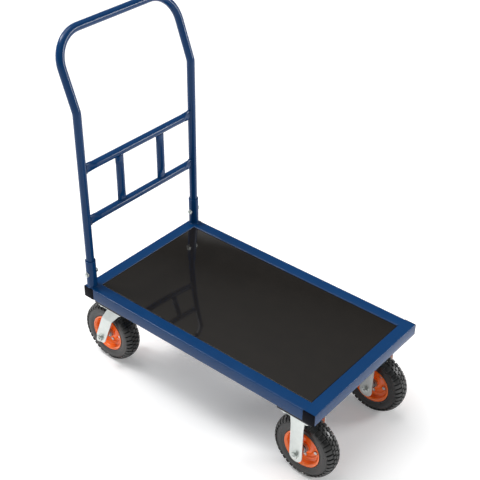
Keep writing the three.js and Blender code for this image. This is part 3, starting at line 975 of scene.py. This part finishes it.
@dataclass
class PushHandle:
    """The push handle: one bent tube, two crossbars and two short uprights, their ends pressed flat."""

    workshop: Workshop
    welder: Welder
    wall: float = 2.0
    bar_wall: float = 1.5
    weld_gap: float = 0.3
    lean: float = 20.0
    bend_height: float = 602.0
    bend_radius: float = 40.0
    corner_radius: float = 94.0
    slot_height: float = 49.0
    slot_width: float = 8.8
    flat_length: float = 12.0
    taper_length: float = 26.0
    flat_thin: float = 0.5
    flat_wide: float = 1.3
    weld_half: float = 0.42
    sides: int = 40
    bar_sides: int = 28
    bend_steps: int = 10
    corner_steps: int = 24
    taper_rows: int = 7

    def __post_init__(self) -> None:
        """Reads the tube's radius and the legs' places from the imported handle."""
        low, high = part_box("handle_tube")
        bar_low, bar_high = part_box("upper_crossbar")
        self.foot = low.z
        self.top = high.z
        self.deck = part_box("left_side_rail")[1].z
        self.leg_x = (bar_low.x + bar_high.x) / 2
        self.radius = ((high.y - bar_high.y) / MM - self.weld_gap) / 2
        self.leg_y = high.y - self.radius * MM

    def tube(self) -> None:
        """Bends the main tube, leg to leg, and slots its two feet."""
        radius = self.radius * MM
        lean = math.radians(self.lean)
        slope = Vector((-math.sin(lean), 0, math.cos(lean)))
        foot = Vector((self.leg_x, -self.leg_y, self.foot))
        bend = Vector((self.leg_x, -self.leg_y, self.deck + self.bend_height * MM))
        bend_setback = self.bend_radius * MM * math.tan(lean / 2)
        upper = (self.top - radius - bend.z) / math.cos(lean)
        corner = bend + slope * upper
        corner_radius = self.corner_radius * MM
        draft = Draft.of_circle("handle_bent_tube", foot, Z, radius, self.sides)
        draft.extrude_to(bend - Z * bend_setback)
        draft.spin(draft.at - X * self.bend_radius * MM, -Y, lean, self.bend_steps)
        draft.extrude_to(corner - slope * corner_radius)
        across = slope.cross(Y)
        draft.spin(draft.at + Y * corner_radius, across, math.pi / 2, self.corner_steps)
        draft.extrude_to(draft.at + Y * 2 * (self.leg_y - corner_radius))
        draft.spin(draft.at - slope * corner_radius, across, math.pi / 2, self.corner_steps)
        top_of_bend = bend + slope * bend_setback
        draft.extrude_to(Vector((top_of_bend.x, self.leg_y, top_of_bend.z)))
        centre = Vector((self.leg_x - self.bend_radius * MM, self.leg_y, bend.z - bend_setback))
        draft.spin(centre, Y, lean, self.bend_steps)
        draft.extrude_to(Vector((self.leg_x, self.leg_y, self.foot)))
        tube = draft.finish()
        modify(tube, "SOLIDIFY", thickness=self.wall * MM, offset=-1, use_even_offset=True)
        for side in Side:
            axis = Vector((self.leg_x, side.value * self.leg_y, self.deck))
            half = Vector((self.slot_width / 2, 2 * self.radius, 0)) * MM
            low = axis - half - Z * MM
            high = axis + half + Z * self.slot_height * MM
            cut_with(tube, block("slot", low, high))
            reach = Y * 2 * radius
            level = axis + Z * self.slot_height * MM
            cut_with(tube, rod("slot_end", level - reach, level + reach, self.slot_width / 2))
        smooth(tube)
        self.workshop.deliver(tube, POWDER_COAT, "handle", "handle_tube")

    def bar(self, name: str, node: str, along: Vector) -> None:
        """One bar, pressed thinner along X and wider across at both ends.

        Args:
            name: The piece's name.
            node: The CAD node that it stands for.
            along: The direction that it runs, Y or Z.
        """
        low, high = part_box(node)
        centre = (low + high) / 2
        half = (high - low).dot(along) / 2
        radius = (high - low).x / 2
        rows = self.taper_rows
        inward = [self.flat_length + self.taper_length * row / rows for row in range(rows + 1)]
        stations = [-half] + [depth * MM - half for depth in inward]
        stations += [-place for place in reversed(stations)]
        draft = Draft.of_circle(name, centre + along * stations[0], along, radius, self.bar_sides)
        size = Vector((1, 1, 1))
        across = along.cross(X)
        for index, station in enumerate(stations):
            if index:
                draft.extrude_to(centre + along * station)
            depth = ((half - abs(station)) / MM - self.flat_length) / self.taper_length
            pressed = 1 - min(1.0, max(0.0, depth))
            pressed = pressed * pressed * (3 - 2 * pressed)
            thin = 1 + (self.flat_thin - 1) * pressed
            wide = 1 + (self.flat_wide - 1) * pressed
            wanted = Vector((thin, *(1 + abs(across[axis]) * (wide - 1) for axis in (1, 2))))
            draft.scale(Vector(wanted[axis] / size[axis] for axis in range(3)))
            size = wanted
        bar = draft.finish()
        modify(bar, "SOLIDIFY", thickness=self.bar_wall * MM, offset=-1)
        smooth(bar)
        self.workshop.deliver(bar, POWDER_COAT, "handle", node)

    def bars(self) -> None:
        """The two crossbars and the two uprights, with the welds at their ends."""
        for node in ("upper_crossbar", "lower_crossbar"):
            self.bar(f"{node}_tube", node, Y)
            low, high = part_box(node)
            for side in Side:
                end = high.y if side is Side.LEFT else low.y
                span = (high.z - low.z) * self.weld_half
                for word, x in (("front", high.x), ("back", low.x)):
                    press = (self.flat_thin - 1) * (high.x - low.x) / 2
                    place = x + press if word == "front" else x - press
                    ends = [Vector((place, end, (low.z + high.z) / 2 + way * span)) for way in (-1, 1)]
                    self.welder.seam(f"{node}_{side.word}_{word}_weld", *ends, "handle")
        for side in Side:
            node = f"{side.word}_upright"
            self.bar(f"{node}_tube", node, Z)

    def build(self) -> None:
        """Builds the whole handle."""
        self.tube()
        self.bars()


# ---------------------------------------------------------------- wheels
@dataclass
class Wheel:
    """An air-tyred wheel: tread tyre, two pressed rim halves bolted together, hub, seals and valve."""

    workshop: Workshop
    radius: float
    hub_half: float
    pitches: int = 40
    steps_per_pitch: int = 4
    tread_depth: float = 3.4
    tread_chamfer: float = 0.5
    tread_drop: float = 11.0
    tread_half: float = 26.3
    middle_groove: float = 1.0
    centre_blocks: float = 8.9
    shoulder_blocks: float = 11.2
    block_taper: float = 0.9
    block_angle: float = math.radians(28)
    rim_sheet: float = 2.0
    rim_flange: float = 1.7
    rim_bolts: int = 5
    bolt_circle: float = 37.0
    bolt_phase: float = 0.25
    bolt_end: float = 2.0
    bolt_thread: float = 8.0
    valve_at: tuple[float, float, float] = (-47.5, 5.5, 0)
    valve_lean: tuple[float, float, float] = (0.22, 0.97, 0)

    @classmethod
    def from_frame(cls, workshop: Workshop) -> "Wheel":
        """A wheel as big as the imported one, from the boxes of a tyre and a hub."""
        tyre_low, tyre_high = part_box("front_left_tyre")
        hub_low, hub_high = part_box("front_left_hub")
        return cls(workshop, (tyre_high.z - tyre_low.z) / 2 / MM, (hub_high.y - hub_low.y) / 2 / MM)

    def tyre(self) -> Object:
        """The tyre: a moulded section, with the tread's blocks raised from its crown."""
        base = self.radius - self.tread_depth
        side = [
            (56.6, 10.0, 0),
            (56.6, 21.6, 1.5),
            (62.2, 23.4, 1.5),
            (64.6, 25.8, 0.8),
            (66.6, 26.7, 0.6),
            (67.8, 26.0, 0.5),
            (73.0, 27.6, 8),
            (80.0, 28.0, 12),
            (86.4, 27.2, 3),
            (87.2, 27.7, 0.3),
            (88.4, 27.5, 0.3),
            (89.0, 26.8, 0.3),
        ]
        crown = [
            (base - self.tread_drop, self.tread_half),
            (base - 7.4, 24.6),
            (base - 4.4, 20.5),
            (base - 2.2, 15.4),
            (base - 1.1, self.shoulder_blocks),
            (base - 0.7, self.centre_blocks),
            (base - 0.1, 4.8),
            (base, self.middle_groove),
        ]
        lining = [(base - 6, 0), (base - 8, 12), (84, 22.5), (70, 22.0), (62, 17.0)]
        outer = [*rounded(side, 3, closed=False), *(Vector(point) for point in crown)]
        inner = [Vector(point) for point in lining]
        mirrored = [Vector((point.x, -point.y)) for point in reversed(outer)]
        inner_mirrored = [Vector((point.x, -point.y)) for point in reversed(inner[1:])]
        outline = [*outer, *mirrored, *inner_mirrored, *inner]
        steps = self.pitches * self.steps_per_pitch
        piece = turned("tyre", outline, Vector(), Y, steps)
        widest = (crown[1][1] + self.tread_half) / 2 + 1.0

        def in_block(centre: Vector, normal: Vector) -> bool:
            """Whether a face of the crown belongs to a tread block and not to a groove."""
            place = Vector((centre.x, centre.z)) / MM
            across = abs(centre.y) / MM
            outward = normal.dot(Vector((centre.x, 0, centre.z)).normalized())
            if place.length < base - self.tread_drop or outward < 0.2:
                return False
            is_centre = self.middle_groove < across < self.centre_blocks
            is_shoulder = self.shoulder_blocks < across < widest
            if not (is_centre or is_shoulder):
                return False
            shift = 0 if is_centre == (centre.y > 0) else self.steps_per_pitch // 2
            turn = math.atan2(place.y, place.x) / math.tau * steps
            return (math.floor(turn) + shift) % self.steps_per_pitch != 0

        select_faces(piece, in_block)
        rise = self.tread_depth - self.tread_chamfer
        bpy.ops.mesh.extrude_region_shrink_fatten(TRANSFORM_OT_shrink_fatten={"value": rise * MM})
        bpy.ops.mesh.inset(thickness=self.block_taper * MM, depth=self.tread_chamfer * MM)
        bpy.ops.object.mode_set(mode="OBJECT")
        smooth(piece, self.block_angle)
        return piece

    def rim_half(self) -> Object:
        """The half on the +Y side: rolled lip, bead seat, deep dish, bolt ring and bearing housing."""
        corners = [
            (61.4, 26.4, 0),
            (61.0, 24.6, 1.0),
            (57.6, 23.3, 2.0),
            (55.4, 20.6, 3.0),
            (53.0, 9.0, 3.0),
            (48.4, 5.4, 1.5),
            (44.0, 5.2, 1.4),
            (42.0, self.rim_flange, 1.4),
            (32.5, self.rim_flange, 2.0),
            (26.0, 7.4, 3.0),
            (18.0, 9.0, 1.6),
            (17.6, 14.5, 0),
        ]
        rim = turned("rim_half", rounded(corners, 4, closed=False), Vector(), Y, 96, closed=False)
        modify(rim, "SOLIDIFY", thickness=self.rim_sheet * MM, offset=0, use_even_offset=True)
        smooth(rim)
        return rim

    def bolt_ring(self) -> Object:
        """The screws that hold the rim halves together: heads on the right, nuts on the left."""
        face = self.rim_flange + self.rim_sheet / 2
        bolt = M6.bolt("bolt", 2 * face + M6.height + self.bolt_end, self.bolt_thread)
        nut = M6.nut("nut")
        parts = []
        for index in range(self.rim_bolts):
            turn = Matrix.Rotation(math.tau * (index + self.bolt_phase) / self.rim_bolts, 4, Y)
            at = turn @ (X * self.bolt_circle * MM)
            parts.append(copy_of(bolt, "bolt", facing(at - Y * face * MM, -Y)))
            parts.append(copy_of(nut, "nut", facing(at + Y * face * MM, Y)))
        discard(bolt, nut)
        return joined("rim_bolts", parts)

    def hub(self) -> Object:
        """The turned hub, with a bearing's rings at each end and a spacer out to the fork."""
        half = [
            (6.5, self.hub_half, 0.4),
            (9.5, self.hub_half, 0.4),
            (9.5, 24.0, 0.5),
            (12.0, 24.0, 0.4),
            (12.0, 22.4, 0.4),
            (16.0, 22.4, 0.6),
        ]
        mirrored = [(radius, -along, fillet) for radius, along, fillet in reversed(half)]
        piece = turned("hub", rounded([*half, *mirrored], 3), Vector(), Y, 48)
        smooth(piece)
        return piece

    def seals(self) -> Object:
        """The two rubber dust seals, each a ring in the face of its bearing."""
        rings = []
        for side in Side:
            corners = [
                (12.1, 22.0, 0),
                (15.2, 22.0, 0),
                (15.2, 23.1, 0.4),
                (13.6, 23.5, 0.4),
                (12.1, 23.1, 0.4),
            ]
            turned_way = [(radius, along * side.value, fillet) for radius, along, fillet in corners]
            rings.append(turned("seal", rounded(turned_way, 2), Vector(), Y, 48))
        seal = joined("seals", rings)
        smooth(seal)
        return seal

    def valve(self) -> Object:
        """The rubber valve stem and its plain cap, leaning out of the dish on the left."""
        corners = [
            (0, 0, 0),
            (6.2, 0, 0.6),
            (6.2, 2.2, 0.6),
            (3.9, 3.4, 1.0),
            (3.6, 11.0, 0.4),
            (2.6, 11.6, 0.3),
            (2.6, 13.0, 0),
            (4.1, 13.0, 0.4),
            (4.1, 21.5, 0.8),
            (3.3, 22.6, 0.4),
            (0, 22.6, 0),
        ]
        stem = turned("valve", rounded(corners, 2, closed=False), Vector(), Z, 24, closed=False)
        stem.data.transform(facing(Vector(self.valve_at) * MM, Vector(self.valve_lean).normalized()))
        smooth(stem)
        return stem

    def build(self, names: Sequence[str]) -> None:
        """Builds one wheel and puts a copy of it at each wheel's place.

        Args:
            names: The casters' names, such as front_left.
        """
        flip = Matrix.Scale(-1, 4, Y)
        rim = self.rim_half()
        other_rim = copy_of(rim, "other_rim", flip)
        masters = [
            (self.tyre(), "tread_tyre", MOULDED_RUBBER, ["tyre"]),
            (rim, "left_rim_pressing", RIM_ENAMEL, ["left_rim_half"]),
            (other_rim, "right_rim_pressing", RIM_ENAMEL, ["right_rim_half"]),
            (self.hub(), "turned_hub", BEARING_STEEL, ["hub"]),
            (self.bolt_ring(), "rim_bolts", ZINC_PLATE, []),
            (self.seals(), "bearing_seals", MOULDED_RUBBER, []),
            (self.valve(), "valve_stem", MOULDED_RUBBER, []),
        ]
        for name in names:
            centre = Matrix.Translation(middle(f"{name}_tyre"))
            for master, word, finish, nodes in masters:
                piece = copy_of(master, f"{name}_{word}", centre)
                self.workshop.deliver(piece, finish, f"{name}_wheel", *(f"{name}_{node}" for node in nodes))
        discard(*(master for master, *_ in masters))


# ---------------------------------------------------------------- casters
@dataclass
class PressedFork:
    """A fork bent from one strip of steel: its front view is a path, and its side view is its width."""

    sheet: float = 4.0
    bend: float = 7.0
    edge: float = 0.7
    edge_angle: float = math.radians(50)
    end_steps: int = 12

    def strip(
        self, name: str, path: Sequence[Vector], width_at: Callable[[float], tuple[float, float]]
    ) -> Object:
        """Bends the strip.

        Args:
            name: The piece's name.
            path: Points (y, z) of the strip's middle plane from one leg's end to the other, in metres.
            width_at: Gives the rear and front edge, as x in metres, at a height.

        Returns:
            The fork, as thick as its sheet.
        """
        rows = [(Vector((sum(width_at(z)) / 2, y, z)), width_at(z)[1] - width_at(z)[0]) for y, z in path]
        first, width = rows[0]
        draft = Draft.of_point(name, first - X * width / 2)
        draft.extrude_to(first + X * width / 2)
        draft.select_all()
        draft.at = first.copy()
        for centre, wanted in rows[1:]:
            draft.extrude_to(centre)
            draft.scale(Vector((wanted / width, 1, 1)))
            width = wanted
        fork = draft.finish()
        modify(fork, "SOLIDIFY", thickness=self.sheet * MM, offset=0, use_even_offset=True)
        soften(fork, self.edge, limit=self.edge_angle)
        return fork

    def legs(self, shape: Sequence[Corner], low: float, round_end: float) -> list[Vector]:
        """The path of a fork whose legs end round.

        Args:
            shape: Corners (y, z, bend radius) from the left leg's straight part to the crown's middle.
            low: The lowest point of the legs, in metres.
            round_end: How high the round end reaches, in metres.

        Returns:
            The whole path, from the left leg's end over the crown to the right leg's end.
        """
        steps = self.end_steps
        leg_y = shape[0][0]
        turns = [math.pi / 2 * step / steps for step in range(1, steps + 1)]
        ends = [low + round_end * (1 - math.cos(turn)) for turn in turns]
        half = [Vector((leg_y, z)) for z in ends] + rounded(shape, 6, closed=False)[1:]
        return half + [Vector((-point.x, point.y)) for point in reversed(half[:-1])]


@dataclass
class Caster:
    """What the four casters share: the sizes of axle, washers and plate bolts."""

    workshop: Workshop
    name: str
    body: str
    fork: PressedFork
    washer: float = 2.2
    plate_corner: float = 7.0
    plate_edge: float = 0.6
    bolt_inset: float = 10.5
    nut_gap: float = 0.3
    axle_end: float = 4.0
    axle_thread: float = 20.0
    screw_length: float = 12.0
    screw_thread: float = 10.0
    screw_washer: float = 1.8

    def fork_half(self) -> float:
        """Half the fork's outer width, in metres, from where the axle's nut stands."""
        low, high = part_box(f"{self.name}_axle_nut")
        return middle(f"{self.name}_tyre").y - high.y - self.nut_gap * MM

    def axle(self) -> None:
        """The axle bolt, its nut and its washers."""
        centre = middle(f"{self.name}_tyre")
        head = centre + Y * self.fork_half()
        reach = centre - Y * self.fork_half()
        through = (head - reach).length / MM + 2 * self.washer + M12.height + self.axle_end
        bolt = M12.bolt("bolt", through, self.axle_thread)
        nut = M12.nut("nut")
        washer = M12.washer("washer", self.washer)
        body = self.body
        placed = copy_of(bolt, f"{self.name}_axle_screw", facing(head + Y * self.washer * MM, Y))
        self.workshop.deliver(placed, ZINC_PLATE, body, f"{self.name}_axle_bolt")
        placed = copy_of(nut, f"{self.name}_axle_hex_nut", facing(reach - Y * self.washer * MM, -Y))
        self.workshop.deliver(placed, ZINC_PLATE, body, f"{self.name}_axle_nut")
        for word, at, way in (("left", head, Y), ("right", reach, -Y)):
            placed = copy_of(washer, f"{self.name}_axle_{word}_washer", facing(at, way))
            self.workshop.deliver(placed, ZINC_PLATE, body)
        discard(bolt, nut, washer)

    def plate_bolts(self, low: Vector, high: Vector) -> None:
        """The four screws up into the pad, at the corners of the caster's plate.

        Args:
            low: The plate's lowest corner.
            high: The plate's highest corner.
        """
        bolt = M8.bolt("bolt", self.screw_length, self.screw_thread)
        washer = M8.washer("washer", self.screw_washer)
        parts = []
        inset = self.bolt_inset * MM
        for x in (low.x + inset, high.x - inset):
            for y in (low.y + inset, high.y - inset):
                at = Vector((x, y, low.z))
                parts.append(copy_of(washer, "washer", facing(at, -Z)))
                parts.append(copy_of(bolt, "bolt", facing(at - Z * self.screw_washer * MM, -Z)))
        discard(bolt, washer)
        screws = joined(f"{self.name}_plate_screws", parts)
        self.workshop.deliver(screws, ZINC_PLATE, "chassis")


@dataclass
class RigidCaster(Caster):
    """A front caster: a plate with a straight-legged fork welded under it."""

    leg_end: float = 27.0
    leg_width: float = 44.0
    top_width: float = 54.0
    waist_drop: float = 52.0

    def build(self) -> None:
        """Builds the plate, the fork, the axle and the screws."""
        node = f"{self.name}_rigid_fork"
        low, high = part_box(node)
        wheel = middle(f"{self.name}_tyre")
        sheet = self.fork.sheet * MM
        under = high.z - sheet
        foot = Vector((low.x, low.y, under))
        top = plate(f"{self.name}_caster_plate", foot, high, self.plate_corner, self.plate_edge)
        self.workshop.deliver(top, ZINC_PLATE, "chassis")
        leg_y = self.fork_half() - sheet / 2
        half = self.leg_width / 2 * MM
        waist = under - self.waist_drop * MM
        crown = under - sheet / 2
        round_from = wheel.z - self.leg_end * MM + half
        shape = [
            (leg_y, round_from, 0),
            (leg_y, waist, 0),
            (leg_y, crown, self.fork.bend * MM),
            (0, crown, 0),
        ]

        def width_at(z: float) -> tuple[float, float]:
            """The rear and the front edge at a height: flared to the plate, and round at the foot."""
            flare = max(0.0, (z - waist) / (under - waist))
            width = half + (self.top_width / 2 * MM - half) * flare
            if z < round_from:
                width = math.sqrt(max(0.0, half * half - (round_from - z) ** 2))
            return (wheel.x - width, wheel.x + width)

        path = self.fork.legs(shape, wheel.z - self.leg_end * MM, half)
        fork = self.fork.strip(f"{self.name}_fork_strip", path, width_at)
        fork.data.transform(Matrix.Translation(Y * wheel.y))
        self.workshop.deliver(fork, ZINC_PLATE, "chassis", node)
        self.axle()
        self.plate_bolts(foot, high)


@dataclass
class SwivelCaster(Caster):
    """A rear caster: a fixed plate and race, and a raked fork that swivels under it on a kingpin."""

    leg_end: float = 20.0
    crown_half: float = 27.0
    shoulder_drop: float = 52.0
    crown_edges: tuple[float, float] = (-34.0, 28.0)
    waist_edges: tuple[float, float] = (-55.0, -11.0)
    shoulder_bend: float = 4.0
    race_height: float = 5.0
    bore: float = 8.0

    def build(self) -> None:
        """Builds the plate with its race, the kingpin, the fork, the axle and the screws."""
        node = f"{self.name}_swivel_fork"
        plate_node = f"{self.name}_swivel_plate"
        pin_node = f"{self.name}_kingpin"
        low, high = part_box(plate_node)
        sheet = self.fork.sheet * MM
        under = high.z - sheet
        pin = middle(pin_node)
        axis = Vector((pin.x, pin.y, 0))
        wheel = middle(f"{self.name}_tyre")
        foot = Vector((low.x, low.y, under))
        top = plate(f"{self.name}_swivel_top", foot, high, self.plate_corner, self.plate_edge)
        drop = (under - low.z) / MM
        race = [
            (self.bore, 1, 0),
            (30.5, 1, 0),
            (30.5, -2.0, 2.0),
            (26.5, -drop + 1.0, 2.5),
            (24.5, -drop, 0.5),
            (self.bore, -drop, 0),
        ]
        upper = turned("race", rounded(race, 3), axis + Z * under, Z, 64)
        smooth(upper)
        top = joined(f"{self.name}_swivel_top", [top, upper])
        self.workshop.deliver(top, ZINC_PLATE, "chassis", plate_node)
        self.plate_bolts(foot, high)
        self.kingpin(axis, pin_node)
        self.swivel_fork(node, axis, wheel)
        self.axle()

    def kingpin(self, axis: Vector, pin_node: str) -> None:
        """The kingpin, with its nut under the fork's crown.

        Args:
            axis: A point on the swivel axis.
            pin_node: The kingpin's CAD node.
        """
        low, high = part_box(pin_node)
        nut = KINGPIN.nut("nut")
        face = low.z + (KINGPIN.height + 0.5) * MM
        length = (high.z - low.z) / MM - 2
        outline = rounded([(0, 0, 0), (6.3, 0, 0.8), (6.3, length, 0), (0, length, 0)], 2, closed=False)
        tip = Vector((axis.x, axis.y, low.z - 1.5 * MM))
        pin = turned("pin", outline, tip, Z, 32, closed=False)
        smooth(pin)
        placed = copy_of(nut, "placed", facing(Vector((axis.x, axis.y, face)), -Z))
        discard(nut)
        whole = joined(f"{self.name}_kingpin_bolt", [pin, placed])
        self.workshop.deliver(whole, ZINC_PLATE, "chassis", pin_node)

    def swivel_fork(self, node: str, axis: Vector, wheel: Vector) -> None:
        """The raked fork and the lower race on its crown.

        Args:
            node: The fork's CAD node.
            axis: A point on the swivel axis.
            wheel: The wheel's centre.
        """
        low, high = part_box(node)
        fork_top = high.z - self.race_height * MM
        sheet = self.fork.sheet * MM
        waist = fork_top - self.shoulder_drop * MM
        trail = axis.x - wheel.x
        end = self.leg_end * MM
        rake = math.atan2(trail + sum(self.waist_edges) / 2 * MM, waist - wheel.z)
        rear_touch = (wheel.z + end * math.sin(rake), wheel.x - end * math.cos(rake))
        front_touch = (wheel.z - end * math.sin(rake), wheel.x + end * math.cos(rake))

        def edge(z: float, index: int, touch: tuple[float, float], sign: int) -> float:
            """The x of one edge at a height: down the crown, along the leg, then round its end."""
            crown = axis.x + self.crown_edges[index] * MM
            turn = axis.x + self.waist_edges[index] * MM
            if z > waist:
                return turn + (crown - turn) * (z - waist) / (fork_top - sheet / 2 - waist)
            if z > touch[0]:
                return touch[1] + (turn - touch[1]) * (z - touch[0]) / (waist - touch[0])
            return wheel.x + sign * math.sqrt(max(0.0, end * end - (wheel.z - z) ** 2))

        def width_at(z: float) -> tuple[float, float]:
            """The rear and the front edge at a height."""
            return (edge(z, 0, rear_touch, -1), edge(z, 1, front_touch, 1))

        leg_y = self.fork_half() - sheet / 2
        shape = [
            (leg_y, rear_touch[0], 0),
            (leg_y, waist - self.shoulder_bend * MM, self.fork.bend * MM),
            (self.crown_half * MM, fork_top - sheet / 2, self.fork.bend * MM),
            (0, fork_top - sheet / 2, 0),
        ]
        path = self.fork.legs(shape, wheel.z - end, rear_touch[0] - wheel.z + end)
        fork = self.fork.strip(f"{self.name}_fork_strip", path, width_at)
        fork.data.transform(Matrix.Translation(Y * wheel.y))
        hole = (axis + Z * (fork_top - 2 * sheet), axis + Z * (fork_top + sheet))
        cut_with(fork, rod("pin_hole", *hole, self.bore))
        smooth(fork)
        race = [(self.bore, -1, 0), (22.0, -1, 0), (24.0, 1.0, 1.0), (24.0, 4.4, 1.0), (self.bore, 4.4, 0)]
        lower = turned("race", rounded(race, 3), axis + Z * fork_top, Z, 64)
        smooth(lower)
        whole = joined(f"{self.name}_raked_fork", [fork, lower])
        self.workshop.deliver(whole, ZINC_PLATE, f"{self.name}_swivel", node)


# ---------------------------------------------------------------- studio
@dataclass
class Studio:
    """A pale floor, a soft sky, a wide overhead sun, two softboxes and the camera."""

    floor_size: float = 14.0
    camera_at: tuple[float, float, float] = (1.55324, -1.89304, 2.22900)
    azimuth: float = 0.68931
    elevation: float = 0.60195
    roll: float = 0.011057
    lens: float = 75.436
    far_clip: float = 60.0
    floor_glow: float = 0.2
    sun_energy: float = 1.9
    sun_width: float = 50.0
    sun_from: tuple[float, float, float] = (-0.38, -0.10, 1.0)
    aim_height: float = 0.3
    overhead: tuple[float, float, float, float] = (0.4, 0.85, 0.07, 0.45)
    horizon: tuple[float, float, float, float] = (0.05, 0.30, 1.0, 0.0)

    def camera(self) -> None:
        """Adds the camera, which looks down on the cart's front right corner."""
        deselect_all()
        bpy.ops.object.camera_add(location=self.camera_at)
        camera = bpy.context.object
        sine, cosine = math.sin(self.azimuth), math.cos(self.azimuth)
        high, flat = math.sin(self.elevation), math.cos(self.elevation)
        back = Vector((sine * flat, -cosine * flat, high))
        right = Vector((cosine, sine, 0))
        up = back.cross(right)
        across = right * math.cos(self.roll) + up * math.sin(self.roll)
        upward = back.cross(across)
        camera.rotation_euler = Matrix((across, upward, back)).transposed().to_euler()
        camera.data.lens = self.lens
        camera.data.clip_end = self.far_clip
        bpy.context.scene.camera = camera

    def floor(self) -> None:
        """Adds the floor: a matt, nearly white board that glows a little, as if lit from all round."""
        deselect_all()
        bpy.ops.mesh.primitive_plane_add(size=self.floor_size)
        floor = named("studio_floor")
        matt = Finish("studio_board", "F4F4F4", "F7F7F7", 300, (0.9, 0.95), 5.0, 0.0, specular=0.1)
        board = matt.build()
        shader = board.node_tree.nodes["Principled BSDF"]
        shader.inputs["Emission Color"].default_value = (1, 1, 1, 1)
        shader.inputs["Emission Strength"].default_value = self.floor_glow
        floor.data.materials.append(board)

    def light(self, name: str, at: Vector, size: float, power: float) -> None:
        """Adds a square area light that faces the cart.

        Args:
            name: The light's name.
            at: Where it hangs, in metres.
            size: The length of its sides, in metres.
            power: Its power in watts.
        """
        bpy.ops.object.light_add(type="AREA", location=at)
        lamp = bpy.context.object
        lamp.name = name
        lamp.data.size = size
        lamp.data.energy = power
        lamp.rotation_euler = (at - Z * self.aim_height).to_track_quat("Z", "Y").to_euler()

    def sun(self) -> None:
        """Adds the overhead softlight, as even as a sky panel: a wide sun, a little from the left."""
        bpy.ops.object.light_add(type="SUN")
        lamp = bpy.context.object
        lamp.name = "overhead_softlight"
        lamp.data.energy = self.sun_energy
        lamp.data.angle = math.radians(self.sun_width)
        lamp.rotation_euler = Vector(self.sun_from).to_track_quat("Z", "Y").to_euler()

    def sky(self) -> None:
        """Fills the studio with soft light: white at the horizon, dark above it and pale overhead."""
        world = bpy.data.worlds.new("soft_studio")
        bpy.context.scene.world = world
        world.use_nodes = True
        tree = world.node_tree
        place = add_node(tree, "ShaderNodeTexCoord")
        split = add_node(tree, "ShaderNodeSeparateXYZ", links={"Vector": place.outputs["Generated"]})
        both = add_node(tree, "ShaderNodeMath", {"operation": "MAXIMUM"})
        for index, values in enumerate((self.overhead, self.horizon)):
            ramp = dict(zip(("From Min", "From Max", "To Min", "To Max"), values, strict=True))
            glow = add_node(tree, "ShaderNodeMapRange", ramp, {"Value": split.outputs["Z"]})
            tree.links.new(glow.outputs["Result"], both.inputs[index])
        tree.links.new(both.outputs["Value"], tree.nodes["Background"].inputs["Strength"])
        tree.nodes["Background"].inputs["Color"].default_value = (1, 1, 1, 1)

    def build(self) -> None:
        """Sets the whole studio."""
        self.camera()
        self.floor()
        self.sky()
        self.sun()
        self.light("left_softbox", Vector((-2.2, -0.9, 3.2)), 0.7, 50)
        self.light("right_softbox", Vector((2.4, 2.3, 1.5)), 1.0, 50)
        bpy.context.scene.view_settings.view_transform = "Standard"


def main() -> None:
    """Builds the studio, the frame, the handle, the wheels and the casters."""
    logging.basicConfig(level=logging.INFO, format="%(message)s")
    Studio().build()
    workshop = Workshop()
    welder = Welder(workshop)
    DeckFrame(workshop, welder).build()
    DeckBoard(workshop).build()
    handle = PushHandle(workshop, welder)
    handle.build()
    HandleSockets(workshop, welder).build(handle.radius)
    Wheel.from_frame(workshop).build([f"{end.word}_{side.word}" for end in End for side in Side])
    fork = PressedFork()
    for side in Side:
        RigidCaster(workshop, f"front_{side.word}", "chassis", fork).build()
        SwivelCaster(workshop, f"rear_{side.word}", f"rear_{side.word}_swivel", fork).build()


if __name__ == "__main__":
    main()
